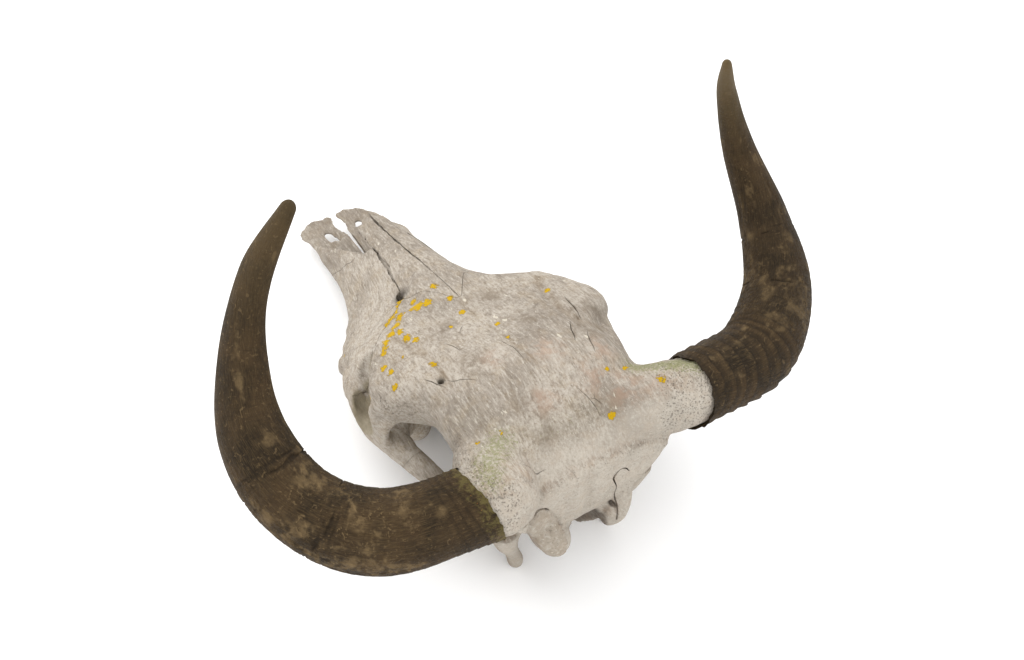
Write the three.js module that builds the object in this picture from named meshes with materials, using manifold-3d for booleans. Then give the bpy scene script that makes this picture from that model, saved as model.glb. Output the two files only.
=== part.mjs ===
// Skull of a horned bull (domestic cattle), upper skull only, life size, in millimetres.
//
// Frame: +Z up, +Y towards the back of the head, +X towards the animal's left side. The skull rests
// on its cheek teeth and on the two paracondylar processes, and the floor is Z = 0. Y = 0 lies at
// the nuchal ridge, the back edge of the forehead, and the nose points to -Y.
//
// The bones are modelled as one body and then parted along their sutures by thin cuts, so that each
// bone is a node of its own. The horn sheaths are solids that fit over the two bony cores.

import * as THREE from 'three';
import { mergeVertices } from 'three/addons/utils/BufferGeometryUtils.js';
import Module from 'manifold-3d';

const wasm = await Module();
wasm.setup();

// ---------------------------------------------------------------------------------------------
// Driving dimensions
// ---------------------------------------------------------------------------------------------

const suture = 0.35;                 // gap left between two bones that touch
const nasalTip = -410;               // Y of the front of the nasal bones
const nasalBack = -221;              // Y of the rear point of the nasal bones
const nasalLow = 60;                 // heights between which the nasal bones are cut out
const nasalHigh = 220;
const faceFront = -450;              // Y where the side walls of the nose begin
const faceBack = -205;               // Y where the face ends inside the forehead
const noseHollowBack = -290;         // Y of the back of the nose cavity
const wallThickness = 4.5;           // side walls of the nose
const faceSections = 12;             // cross-sections along the face
const hollowSections = 6;            // and along the nose cavity
const toothHeight = 20;              // crowns below the jaw edge
const toothFront = -330;             // Y of the front of the first premolar
const toothLengths = [17, 18, 18, 24, 27, 29];       // three premolars, three molars, front to back
const toothRow = { x: 47, bow: 16, bowEnds: 3.6 };   // the row bows out from its first tooth
const premolars = 3;
const orbit = { x: 112, y: -193, z: 109, deep: 66, long: 30, high: 27 };
const condyle = { x: 36, y: 0, z: 82, wide: 17, deep: 17, high: 30 };
const foramen = { y: 6, z: 62, wide: 19, deep: 42, high: 27 };       // foramen magnum
const napeZ = 120;                   // middle of the nape's height
const napeBulge = 5;                 // how far the nape stands out behind the nuchal ridge
const napeShare = 0.78;              // width of its flat middle, as a share of the ridge's
const coreRadius = 29;               // horn core where the sheath begins
const sheathFit = 0.4;               // clearance between a core and its sheath
const coreDepth = 14;                // how far a core reaches into its sheath
const nasalThickness = 5;            // nasal bones
const sliverSize = 0.25;             // edges shorter than this are drawn together
const sliverPasses = 8;
const leastTurn = 0.2;               // cosine of the most that a face may turn meanwhile
const crumbVolume = 900;             // loose crumbs of bone below this volume are dropped
const hornSides = 12;                // facets round a horn
const hornSpans = 16;                // facets along a horn

// Profile curves of the forehead and braincase, each as [Y, value] pairs.
const vault = {
  roof: [[-240, 156], [-205, 165], [-165, 181], [-130, 195], [-95, 203], [-60, 195], [-30, 178], [0, 157]],
  edge: [[-240, 50], [-230, 72], [-220, 96], [-205, 112], [-175, 121], [-150, 120], [-122, 104],
    [-95, 97], [-50, 96], [0, 86]],
  edgeZ: [[-240, 142], [-205, 148], [-165, 150], [-120, 162], [-90, 171], [-50, 168], [-20, 152], [0, 138]],
  lipZ: [[-240, 118], [-205, 133], [-150, 130], [-110, 144], [-80, 140], [-30, 126], [0, 126]],
  wall: [[-240, 60], [-205, 46], [-150, 46], [-110, 56], [-60, 66], [-20, 68], [0, 58]],
  wallZ: [[-240, 95], [-150, 92], [-60, 90], [-20, 88], [0, 98]],
  base: [[-240, 40], [-205, 26], [-150, 26], [-100, 34], [-40, 46], [0, 40]],
  baseZ: [[-240, 58], [-150, 60], [-40, 56], [-15, 70], [0, 90]],
};

const vaultStations = [-240, -229, -218, -202, -178, -155, -135, -114, -88, -60, -32, -12, 0];
const vaultBow = [[0.45, 0.12], [0.86, 0.55]];       // shares of the half-width and of the fall beside it

// Profile curves of the face, from the nasal opening to the orbits.
const face = {
  roof: [[-450, 90], [-410, 102], [-345, 121], [-288, 141], [-250, 153], [-205, 163]],
  shoulder: [[-450, 12], [-410, 15], [-370, 20], [-330, 26], [-290, 30], [-260, 34], [-240, 41], [-205, 76]],
  shoulderDrop: [[-450, 7], [-345, 10], [-288, 15], [-240, 13], [-205, 12]],
  cheek: [[-450, 28], [-410, 34], [-356, 41], [-310, 50], [-275, 62], [-240, 84], [-205, 104]],
  cheekZ: [[-450, 52], [-410, 70], [-356, 80], [-310, 88], [-275, 104], [-240, 120], [-205, 128]],
  side: [[-450, 43], [-410, 47], [-386, 50], [-356, 56], [-330, 66], [-296, 90], [-268, 100],
    [-240, 106], [-205, 92]],
  sideZ: [[-450, 30], [-410, 38], [-356, 50], [-296, 44], [-268, 58], [-240, 70], [-205, 72]],
  jaw: [[-450, 40], [-400, 41], [-356, 45], [-320, 56], [-280, 68], [-240, 72], [-205, 66]],
  jawZ: [[-450, 24], [-410, 32], [-380, 34], [-350, 26], [-330, 20], [-205, 20]],
  palate: [[-450, 22], [-400, 24], [-330, 34], [-280, 42], [-205, 42]],
};
const palateZ = 29;                  // height of the palate's midline

// Axis of each horn from its base to its tip, about 75 mm apart, and its radius at even steps.
const hornLeft = {
  axis: [[91, -13, 160], [186, -37, 153], [232, -80, 168], [247, -138, 203.5],
    [230.5, -185, 255], [203, -207, 318], [165, -204, 390]],
  girth: [35, 36, 37, 34.8, 31.3, 23.7, 16.9, 13, 6],
};
const hornRight = {
  axis: [[-130, -24, 159], [-215, -39, 144], [-269, -83, 157], [-288, -139, 195],
    [-280, -181, 252], [-263, -193, 319], [-237, -174, 382]],
  girth: [33, 35, 36, 31.5, 25, 18.5, 12.8, 8.5, 3],
};

// ---------------------------------------------------------------------------------------------
// Shape helpers
// ---------------------------------------------------------------------------------------------

const vec = (x, y, z) => new THREE.Vector3(x, y, z);

/** A smooth function through [key, value] pairs. */
function curve(pairs) {
  const keys = pairs.map((p) => p[0]);
  const values = pairs.map((p) => p[1]);
  const cubic = new THREE.CubicInterpolant(new Float32Array(keys), new Float32Array(values), 1);
  return (t) => cubic.evaluate(THREE.MathUtils.clamp(t, keys[0], keys[keys.length - 1]))[0];
}

/** The same for a whole set of named profile curves. */
function curves(profiles) {
  return Object.fromEntries(Object.entries(profiles).map(([name, pairs]) => [name, curve(pairs)]));
}

/** Evenly spaced values from a to b, both included. */
function steps(a, b, count) {
  return Array.from({ length: count }, (_, i) => a + ((b - a) * i) / (count - 1));
}

/** A closed body from rings of equally many points; each end is closed by a fan. */
function loft(rings) {
  const sides = rings[0].length;
  const middle = (ring) => ring.reduce((sum, p) => sum.add(p), vec(0, 0, 0)).divideScalar(sides);
  const points = [...rings.flat(), middle(rings[0]), middle(rings[rings.length - 1])];
  const first = rings.length * sides;
  const faces = [];
  for (let k = 0; k < sides; k++) {
    const next = (k + 1) % sides;
    faces.push(first, next, k);
    faces.push(first + 1, (rings.length - 1) * sides + k, (rings.length - 1) * sides + next);
    for (let i = 0; i + 1 < rings.length; i++) {
      const a = i * sides;
      const b = a + sides;
      faces.push(a + k, a + next, b + k, a + next, b + next, b + k);
    }
  }
  const geometry = new THREE.BufferGeometry().setFromPoints(points);
  geometry.setIndex(faces);
  return solid(geometry);
}

/** A closed three.js geometry as a manifold solid with its faces pointing out. */
function solid(geometry) {
  geometry.deleteAttribute('normal');
  geometry.deleteAttribute('uv');
  const merged = mergeVertices(geometry, 1e-4);
  const triangles = [];
  const index = merged.index.array;
  for (let i = 0; i < index.length; i += 3) {
    const [a, b, c] = [index[i], index[i + 1], index[i + 2]];
    if (a !== b && b !== c && c !== a) triangles.push(a, b, c);
  }
  const build = (list) => new wasm.Manifold(new wasm.Mesh({
    numProp: 3, vertProperties: new Float32Array(merged.attributes.position.array),
    triVerts: new Uint32Array(list),
  }));
  const body = build(triangles);
  return body.volume() > 0 ? body : build(triangles.reverse());
}

/** A half section mirrored to a full ring: points run from the top midline down to the bottom one. */
function ringAt(y, half, perSpan) {
  const left = half.map(([x, z]) => vec(x, y, z));
  const right = half.slice(1, -1).reverse().map(([x, z]) => vec(-x, y, z));
  const outline = new THREE.CatmullRomCurve3([...left, ...right], true, 'centripetal');
  const count = (left.length + right.length) * perSpan;
  return Array.from({ length: count }, (_, i) => outline.getPoint(i / count));
}

/** A tube of changing oval section along a path: radii are [half-width, half-height] at each point. */
function tube(path, radii, { sides = 10, spans = 10, round = 1, up = vec(0, 0, 1) } = {}) {
  const line = new THREE.CatmullRomCurve3(path.map((p) => vec(...p)), false, 'centripetal');
  const keys = radii.map((_, i) => i / (radii.length - 1));
  const wide = curve(radii.map((r, i) => [keys[i], Array.isArray(r) ? r[0] : r]));
  const high = curve(radii.map((r, i) => [keys[i], Array.isArray(r) ? r[1] : r]));
  const rings = steps(0, 1, spans + 1).map((t) => {
    const centre = line.getPoint(t);
    const along = line.getTangent(t);
    const across = vec().crossVectors(up, along).normalize();
    const over = vec().crossVectors(along, across);
    return Array.from({ length: sides }, (_, k) => {
      const angle = (2 * Math.PI * k) / sides;
      return centre.clone().addScaledVector(across, wide(t) * Math.cos(angle))
        .addScaledVector(over, high(t) * Math.sin(angle));
    });
  });
  if (round > 0) {
    const tip = rings[rings.length - 1];
    const end = line.getPoint(1).addScaledVector(line.getTangent(1), round);
    rings.push(tip.map((p) => p.clone().lerp(line.getPoint(1), 0.5).add(end).sub(line.getPoint(1))));
  }
  return loft(rings);
}

/** An ellipsoid, turned by Euler angles in degrees. */
function ellipsoid([x, y, z], [rx, ry, rz], turn = [0, 0, 0], sides = 16) {
  const ball = new THREE.SphereGeometry(1, sides, Math.round(sides * 0.55));
  ball.scale(rx, ry, rz);
  const [a, b, c] = turn.map(THREE.MathUtils.degToRad);
  ball.applyMatrix4(new THREE.Matrix4().makeRotationFromEuler(new THREE.Euler(a, b, c)));
  ball.translate(x, y, z);
  return solid(ball);
}

/** An upright block over a plan outline of [x, y] points, from z0 to z1. */
function prism(outline, z0, z1) {
  const shape = new THREE.Shape(outline.map(([x, y]) => new THREE.Vector2(x, y)));
  const block = new THREE.ExtrudeGeometry(shape, { depth: z1 - z0, bevelEnabled: false });
  block.translate(0, 0, z0);
  return solid(block);
}

const join = (...bodies) => bodies.reduce((sum, body) => sum.add(body));
const mirrored = (body) => body.mirror([1, 0, 0]);
const bothSides = (body) => body.add(mirrored(body));

// ---------------------------------------------------------------------------------------------
// The skull as one body
// ---------------------------------------------------------------------------------------------

/** Forehead, braincase and the roofs of the orbits, closed behind by a rounded nape. */
function vaultBody() {
  const at = curves(vault);
  const rings = vaultStations.map((y) => {
    const [edge, edgeZ, roof] = [at.edge(y), at.edgeZ(y), at.roof(y)];
    const crown = roof - edgeZ;
    return ringAt(y, [
      [0, roof], ...vaultBow.map(([out, drop]) => [edge * out, roof - crown * drop]),
      [edge, edgeZ - 3], [edge - 4, at.lipZ(y)], [at.wall(y), at.wallZ(y)],
      [at.base(y), at.baseZ(y)], [0, at.baseZ(y) - 4],
    ], 2);
  });
  const last = rings[rings.length - 1];
  const nape = vec(0, 0, napeZ);
  rings.push(last.map((p) => nape.clone().lerp(p, napeShare).add(vec(0, napeBulge, 0))));
  return loft(rings);
}

/** Nose, cheeks and palate. */
function faceBody() {
  const at = curves(face);
  return loft(steps(faceFront, faceBack, faceSections).map((y) => {
    const roof = at.roof(y);
    return ringAt(y, [
      [0, roof], [at.shoulder(y) * 0.6, roof - 1], [at.shoulder(y), roof - at.shoulderDrop(y)],
      [at.cheek(y), at.cheekZ(y)], [at.side(y), at.sideZ(y)], [at.jaw(y), at.jawZ(y)],
      [at.palate(y), Math.min(at.jawZ(y), palateZ)], [0, palateZ + 2],
    ], 2);
  }));
}

/** The hollow of the nose, inside its side walls and over the palate. */
function noseHollow() {
  const at = curves(face);
  const floor = palateZ + wallThickness;
  return loft(steps(faceFront - 4, noseHollowBack, hollowSections).map((y) => {
    const roof = at.roof(y);
    return ringAt(y, [
      [0, roof - 2], [at.shoulder(y) * 0.4, roof - 3], [at.shoulder(y) - 7, roof - at.shoulderDrop(y)],
      [at.cheek(y) - wallThickness, at.cheekZ(y)],
      [at.side(y) - 1.3 * wallThickness, Math.max(at.sideZ(y), floor + 3)], [at.palate(y), floor],
      [0, floor],
    ], 1);
  }));
}

/** Zygomatic bone and arch of the left side, from the cheek under the orbit to the braincase. */
function leftArch() {
  return join(
    tube([[82, -280, 48], [97, -256, 58], [109, -232, 69], [117, -205, 76], [118, -178, 79],
      [113, -150, 81], [105, -122, 82], [97, -95, 83], [85, -68, 82], [66, -50, 84]],
    [[12, 14], [11, 13], [9, 11], [8, 9], [9, 9], [8, 9], [8, 8], [9, 7], [13, 8], [16, 14]],
    { sides: 8, spans: 10, round: 0 }),
    tube([[108, -152, 138], [116, -158, 120], [118, -162, 102], [114, -162, 80]],
      [[13, 9], [11, 6], [10, 6], [12, 7]], { sides: 6, spans: 4, round: 0, up: vec(1, 0, 0) }),
    ellipsoid([86, -285, 38], [13, 16, 10], [0, 0, -20], 8),
    ellipsoid([92, -208, 66], [27, 46, 14], [0, 0, 0], 8),
    ellipsoid([66, -194, 62], [22, 27, 18], [0, 0, 0], 8),
  );
}

/** Occipital parts of the left side: nuchal crest, condyle, paracondylar process and bulla. */
function leftOcciput() {
  const { x, y, z, wide, deep, high } = condyle;
  return join(
    ellipsoid([x, y, z], [wide, deep, high], [15, 24, 0], 10),
    tube([[70, -18, 92], [66, -22, 62], [60, -25, 32], [56, -27, 10], [55, -27, 2]],
      [[14, 15], [12, 11], [10, 9], [9.5, 9], [7.5, 7.5]], { sides: 8, spans: 4, round: 2,
      up: vec(1, 0, 0) }),
    tube([[40, -2, 146], [66, -3, 141], [86, -5, 134], [91, -8, 130]],
      [[5, 10], [5, 9], [4, 7], [3, 4]], { sides: 6, spans: 3, round: 1 }),
    ellipsoid([70, -30, 84], [15, 18, 22], [0, 0, 0], 8),
    ellipsoid([50, -58, 46], [11, 17, 15], [0, 0, 0], 8),
    tube([[58, -60, 72], [76, -56, 78], [86, -54, 80]], [10, 8, 7], { sides: 6, spans: 2, round: 0 }),
    tube([[24, -222, 40], [22, -190, 42], [20, -150, 52], [20, -135, 60]],
      [[4, 12], [4, 16], [4, 12], [4, 6]], { sides: 6, spans: 4, round: 0 }),
  );
}

/** A point on a horn's axis, a distance beyond its base. */
function beyondBase({ axis }, distance) {
  const [base, next] = [vec(...axis[0]), vec(...axis[1])];
  return base.lerp(next, distance / base.distanceTo(next)).toArray();
}

/** Bony core of a horn, from a broad root in the forehead to its hidden end; grow fattens it. */
function hornCore(horn, side, grow = 0) {
  const root = [[18, -70, 146], [50, -56, 153], [74, -38, 157]].map(([x, y, z]) => [side * x, y, z]);
  const radius = coreRadius + grow;
  return tube([...root, horn.axis[0], beyondBase(horn, coreDepth + grow)],
    [[46, 36], [41, 34], [34, 31], [radius, radius], [radius - 2, radius - 2]],
    { sides: 12, spans: 5, round: 0 });
}

/** Openings cut on the left side: orbit, pit beside the nape, ear canal and infraorbital foramen. */
function leftCuts() {
  const { x, y, z, deep, long, high } = orbit;
  return join(
    ellipsoid([71, 0, 130], [15, 22, 6.5], [0, 27, 0], 10),
    ellipsoid([x, y, z], [deep, long, high], [0, 8, 14], 12),
    tube([[96, -53, 81], [66, -57, 76]], [4, 4], { sides: 8, spans: 2, round: 0 }),
    tube([[62, -336, 62], [44, -318, 64]], [[4, 6], [3, 4]], { sides: 8, spans: 2, round: 0 }),
  );
}

/** A block over an outline of [y, z] points seen from the side, between two planes of X. */
function sideBlock(outline, x0, x1) {
  const shape = new THREE.Shape(outline.map(([y, z]) => new THREE.Vector2(y, z)));
  const block = new THREE.ExtrudeGeometry(shape, { depth: x1 - x0, bevelEnabled: false });
  block.rotateX(Math.PI / 2).rotateZ(Math.PI / 2).translate(x0, 0, 0);
  return solid(block);
}

/** What the slanted nasal opening takes off the front of the side walls. */
function nasalOpening() {
  return sideBlock([[-480, 36], [-436, 36], [-398, 62], [-364, 104], [-400, 170], [-480, 170]], -90, 90);
}

/** The two inner nostrils: a passage under the skull base that opens behind the palate. */
function choana() {
  return join(
    tube([[0, -256, 46], [0, -200, 46], [0, -160, 47], [0, -130, 50]],
      [[17, 12], [17, 13], [16, 12], [12, 4]], { sides: 12, spans: 5, round: 0 }),
    prism([[-17, -213], [17, -213], [20, -150], [-20, -150]], 10, 46),
  );
}

/** Cheek teeth of the left side: six crowns that narrow a little towards the gum. */
function leftTeeth() {
  let y = toothFront;
  return join(...toothLengths.map((length, i) => {
    const centre = y + length / 2;
    y += length;
    const x = toothRow.x + toothRow.bow * Math.sin((Math.PI / 2) * Math.min(1, i / toothRow.bowEnds));
    const wide = i < premolars ? 8 + i : 12;
    const top = toothHeight + 12;
    const crown = new THREE.CylinderGeometry(1, 0.93, top, 8, 1);
    crown.rotateX(Math.PI / 2).rotateZ(Math.PI / 8).scale(wide * 1.05, length * 0.54, 1);
    crown.translate(x, centre, top / 2);
    return solid(crown);
  }));
}

/** Premaxilla of the left side: a flat paddle, its nasal process and the palatine process. */
function leftPremaxilla() {
  return join(
    tube([[17, -491, 19], [24, -483, 23], [31, -471, 25], [37, -457, 27], [41, -443, 28], [43, -420, 31],
      [44, -396, 38]],
      [[11, 2.5], [22, 4], [17, 4.5], [11, 4.5], [7.5, 4.5], [5, 5], [4, 7]], { sides: 8, spans: 8,
      round: 0 }),
    tube([[42, -432, 30], [47, -412, 40], [46, -394, 54], [41, -374, 72]],
      [[3, 9], [2.6, 11], [2.2, 10], [2, 5]], { sides: 6, spans: 4, round: 0 }),
    tube([[12, -477, 22], [9, -462, 24], [7, -440, 27], [5.5, -415, 30], [5, -395, 31]],
      [[8, 3], [4.5, 3], [4, 3], [4, 3], [3, 2.5]], { sides: 6, spans: 5, round: 0 }),
  );
}

/** Plan outline of the left nasal bone, made wider by grow on every side. */
function nasalOutline(grow) {
  return [
    [suture / 2 - grow, -396 - grow], [3, nasalTip - grow], [9 + grow, nasalTip + 5 - grow],
    [11, -397 - grow], [15 + grow, -402 - grow], [18 + grow, -380], [26 + grow, -320],
    [32 + grow, -280], [36 + grow, -264 + grow], [22, -250 + grow], [12, -236 + grow],
    [3, nasalBack + grow], [suture / 2 - grow, nasalBack + grow],
  ];
}

/** All that lies inside the outline of the left nasal bone and above its underside. */
function nasalRoom(upper, grow) {
  const depth = nasalThickness + grow;
  return prism(nasalOutline(grow), nasalLow, nasalHigh).subtract(upper.translate([0, 0, -depth]));
}

/** Blocks that say which bone a stretch of the left side belongs to; grow widens each of them. */
const territories = {
  premaxilla: (grow) => sideBlock([
    [-540, -10], [-400 + grow, -10], [-400 + grow, 40], [-374 + grow, 82], [-374 + grow, 110], [-540, 110],
  ], -1, 120),
  maxilla: (grow) => sideBlock([
    [-500, -10], [-192 + grow, -10], [-192 + grow, 50 + grow], [-236 + grow, 60 + grow],
    [-258 + grow, 80 + grow], [-268 + grow, 112], [-268 + grow, 220], [-500, 220],
  ], -1, 160),
  lacrimal: (grow) => prism([
    [39 - grow, -290], [39 - grow, -266], [101, -222 + grow], [150, -222 + grow], [150, -290],
  ], 74 - grow, 220),
  zygomatic: (grow) => prism([
    [70, -300], [82 - grow, -262], [86 - grow, -232], [86 - grow, -126 + grow], [150, -126 + grow],
    [150, -300],
  ], 30, 100 + grow),
};

// ---------------------------------------------------------------------------------------------
// Parting the body into its bones
// ---------------------------------------------------------------------------------------------

const leftHalf = (body) => body.trimByPlane([1, 0, 0], suture / 2);

/** All bones of the left side and the cranium, as named solids. */
function bones() {
  const faceSolid = faceBody();
  const upper = faceSolid.add(vaultBody());
  const sideParts = join(leftArch(), leftOcciput());
  const opening = ellipsoid([0, foramen.y, foramen.z], [foramen.wide, foramen.deep, foramen.high],
    [-14, 0, 0], 10);
  const foramenRim = ellipsoid([0, -16, 76], [46, 20, 34], [0, 0, 0], 10);
  const body = join(upper.subtract(nasalOpening()), bothSides(sideParts), foramenRim)
    .subtract(noseHollow()).subtract(opening).subtract(choana()).subtract(bothSides(leftCuts()));
  const whole = body.subtract(bothSides(nasalRoom(upper, suture))).add(bothSides(leftPremaxilla()))
    .add(bothSides(leftTeeth()));
  const belowFloor = prism([[-200, -600], [200, -600], [200, 100], [-200, 100]], -20, 0);
  const cores = hornCore(hornLeft, 1).add(hornCore(hornRight, -1));
  let rest = whole.subtract(belowFloor).subtract(hornBody(hornLeft, suture))
    .subtract(hornBody(hornRight, suture)).add(cores);
  const left = { nasal: leftHalf(nasalRoom(upper, 0).intersect(upper)) };
  for (const [name, block] of Object.entries(territories)) {
    left[name] = leftHalf(rest.intersect(block(0)));
    rest = rest.subtract(bothSides(block(suture)));
  }
  return { left, cranium: rest };
}

// ---------------------------------------------------------------------------------------------
// Horn sheaths
// ---------------------------------------------------------------------------------------------

/** The outer shape of a horn: a tapering tube along its axis, fattened by grow. */
function hornBody({ axis, girth }, grow = 0) {
  const line = new THREE.CatmullRomCurve3(axis.map((p) => vec(...p)), false, 'centripetal');
  const girthAt = curve(girth.map((r, i) => [i / (girth.length - 1), r + grow]));
  const rings = steps(0, 1, hornSpans + 1).map((t) => {
    const along = line.getTangentAt(t);
    const centre = line.getPointAt(t).addScaledVector(along, t > 0 ? 0 : -grow);
    const across = vec().crossVectors(vec(0, 0, 1), along).normalize();
    const over = vec().crossVectors(along, across);
    const radius = girthAt(t);
    return Array.from({ length: hornSides }, (_, k) => {
      const angle = (2 * Math.PI * k) / hornSides;
      return centre.clone().addScaledVector(across, radius * Math.cos(angle))
        .addScaledVector(over, radius * Math.sin(angle));
    });
  });
  return loft(rings);
}

/** A horn sheath: the horn's outer shape with a socket for the end of its core. */
function hornSheath(horn, side) {
  return hornBody(horn).subtract(hornCore(horn, side, sheathFit));
}

// ---------------------------------------------------------------------------------------------
// Assembly
// ---------------------------------------------------------------------------------------------

const materials = {
  bone: new THREE.MeshStandardMaterial({ color: 0xbbb0a1, roughness: 0.85, metalness: 0 }),
  horn: new THREE.MeshStandardMaterial({ color: 0x514330, roughness: 0.7, metalness: 0 }),
};

const group = new THREE.Group();
group.name = 'cow_skull';

/** Every edge of a closed mesh, as a key made of its two ends, with the corner that lies across it. */
function cornersAcross(faces) {
  const across = new Map();
  faces.forEach(([a, b, c], face) => {
    across.set(`${a} ${b}`, { face, corner: c });
    across.set(`${b} ${c}`, { face, corner: a });
    across.set(`${c} ${a}`, { face, corner: b });
  });
  return across;
}

const faceNormal = (points, [a, b, c]) => vec().crossVectors(
  points[b].clone().sub(points[a]), points[c].clone().sub(points[a]));

/** One pass that draws each edge shorter than the limit together to one point, where that is safe. */
function withoutShortEdges(points, faces, limit) {
  const around = points.map(() => new Set());
  faces.forEach((face, i) => face.forEach((corner) => around[corner].add(i)));
  const ring = (corner) => new Set([...around[corner]].flatMap((i) => faces[i]));
  const touched = new Set();
  const renamed = new Map();
  for (const face of faces) {
    for (let k = 0; k < 3; k++) {
      const [a, b] = [face[k], face[(k + 1) % 3]];
      if (points[a].distanceTo(points[b]) >= limit) continue;
      const [ringA, ringB] = [ring(a), ring(b)];
      if ([...ringA, ...ringB].some((corner) => touched.has(corner))) continue;
      const shared = [...ringA].filter((corner) => corner !== a && corner !== b && ringB.has(corner));
      const moved = [...around[b]].map((i) => faces[i]).filter((other) => !other.includes(a));
      const turned = moved.some((other) => {
        const before = faceNormal(points, other);
        const after = faceNormal(points, other.map((corner) => (corner === b ? a : corner)));
        return after.dot(before) <= leastTurn * after.length() * before.length();
      });
      if (shared.length !== 2 || turned) continue;
      renamed.set(b, a);
      [...ringA, ...ringB].forEach((corner) => touched.add(corner));
    }
  }
  return faces.map((face) => face.map((corner) => renamed.get(corner) ?? corner))
    .filter(([a, b, c]) => a !== b && b !== c && c !== a);
}

/** One pass that gives the long edge of each triangle flatter than the limit to its neighbour. */
function withoutFlatTriangles(points, faces, limit) {
  const across = cornersAcross(faces);
  const touched = new Set();
  faces.forEach((face, i) => {
    if (touched.has(i)) return;
    const lengths = face.map((corner, k) => points[corner].distanceTo(points[face[(k + 1) % 3]]));
    const k = lengths.indexOf(Math.max(...lengths));
    const [a, b, c] = [face[k], face[(k + 1) % 3], face[(k + 2) % 3]];
    const { face: j, corner: d } = across.get(`${b} ${a}`);
    if (touched.has(j) || faceNormal(points, face).length() / lengths[k] >= limit) return;
    const normal = faceNormal(points, faces[j]);
    const halves = [[a, d, c], [d, b, c]];
    const good = halves.every((half) => faceNormal(points, half).dot(normal) > 0);
    if (!good || across.has(`${c} ${d}`) || across.has(`${d} ${c}`)) return;
    [faces[i], faces[j]] = halves;
    faces.forEach((other, index) => {
      if ([a, b, c, d].some((corner) => other.includes(corner))) touched.add(index);
    });
  });
  return faces;
}

/** A mesh without the slivers that cuts leave behind; its surface moves by no more than the limit. */
function withoutSlivers(mesh, limit) {
  const points = [];
  for (let i = 0; i < mesh.vertProperties.length; i += 3) {
    points.push(vec(...mesh.vertProperties.slice(i, i + 3)));
  }
  let faces = [];
  for (let i = 0; i < mesh.triVerts.length; i += 3) faces.push([...mesh.triVerts.slice(i, i + 3)]);
  for (let pass = 0; pass < sliverPasses; pass++) {
    faces = withoutShortEdges(points, faces, limit);
    faces = withoutFlatTriangles(points, faces, limit / 4);
  }
  const geometry = new THREE.BufferGeometry().setFromPoints(points);
  geometry.setIndex(faces.flat());
  return geometry;
}

/** A manifold solid as a named mesh without its crumbs. */
function addNode(name, body, material) {
  const pieces = body.decompose().filter((piece) => piece.volume() > crumbVolume);
  const kept = pieces.reduce((largest, piece) => (piece.volume() > largest.volume() ? piece : largest));
  const geometry = withoutSlivers(kept.getMesh(), sliverSize);
  geometry.computeVertexNormals();
  const node = new THREE.Mesh(geometry, materials[material]);
  node.name = name;
  group.add(node);
}

const { left, cranium } = bones();
addNode('cranium', cranium, 'bone');
for (const [name, body] of Object.entries(left)) {
  addNode(`${name}_left`, body, 'bone');
  addNode(`${name}_right`, mirrored(body), 'bone');
}
addNode('horn_sheath_left', hornSheath(hornLeft, 1), 'horn');
addNode('horn_sheath_right', hornSheath(hornRight, -1), 'horn');

// The origin lies on the floor, under the middle of the whole skull with its horns.
const bounds = new THREE.Box3().setFromObject(group);
const middle = bounds.getCenter(vec());
group.position.set(-middle.x, -middle.y, 0);

export default group;
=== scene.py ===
"""Skull of a horned bull, upper skull only, as a still model at life size.

Blender add-on layout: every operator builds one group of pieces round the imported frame. Shapes are
written in millimetres in the skull's own space: X to the animal's left, Y to the back, Z up, zero on
the floor under the middle of the nuchal ridge. place() takes them to the frame, in metres.
"""

import math

import bpy
import numpy as np
from mathutils import Matrix, Vector


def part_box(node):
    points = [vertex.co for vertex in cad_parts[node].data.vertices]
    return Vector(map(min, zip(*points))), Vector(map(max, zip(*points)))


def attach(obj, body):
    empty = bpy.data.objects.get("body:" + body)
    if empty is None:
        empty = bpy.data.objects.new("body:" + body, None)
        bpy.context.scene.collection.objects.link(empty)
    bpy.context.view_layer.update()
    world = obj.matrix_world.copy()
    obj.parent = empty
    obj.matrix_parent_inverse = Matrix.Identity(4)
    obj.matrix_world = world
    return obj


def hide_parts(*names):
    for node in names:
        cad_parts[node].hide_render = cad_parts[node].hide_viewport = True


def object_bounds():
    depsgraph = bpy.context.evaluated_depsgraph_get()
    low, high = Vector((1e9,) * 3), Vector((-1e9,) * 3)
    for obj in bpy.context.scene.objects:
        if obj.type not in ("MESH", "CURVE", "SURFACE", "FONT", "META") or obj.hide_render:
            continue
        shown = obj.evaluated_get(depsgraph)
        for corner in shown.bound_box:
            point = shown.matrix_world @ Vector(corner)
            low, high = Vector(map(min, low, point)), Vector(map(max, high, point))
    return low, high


bl_info = {
    "name": "Bull skull",
    "version": (1, 0, 0),
    "blender": (4, 5, 0),
    "location": "3D View > Sidebar > Skull",
    "description": "Builds the bones, teeth, horn sheaths and growths of a weathered bull skull",
    "category": "Add Mesh",
}

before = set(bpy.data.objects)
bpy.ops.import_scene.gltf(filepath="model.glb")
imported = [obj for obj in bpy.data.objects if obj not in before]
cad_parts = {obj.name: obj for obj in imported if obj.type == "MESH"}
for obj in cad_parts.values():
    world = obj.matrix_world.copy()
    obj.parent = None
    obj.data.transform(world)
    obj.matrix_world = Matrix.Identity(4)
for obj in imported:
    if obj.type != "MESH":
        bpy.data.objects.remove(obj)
cad_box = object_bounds()

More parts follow.
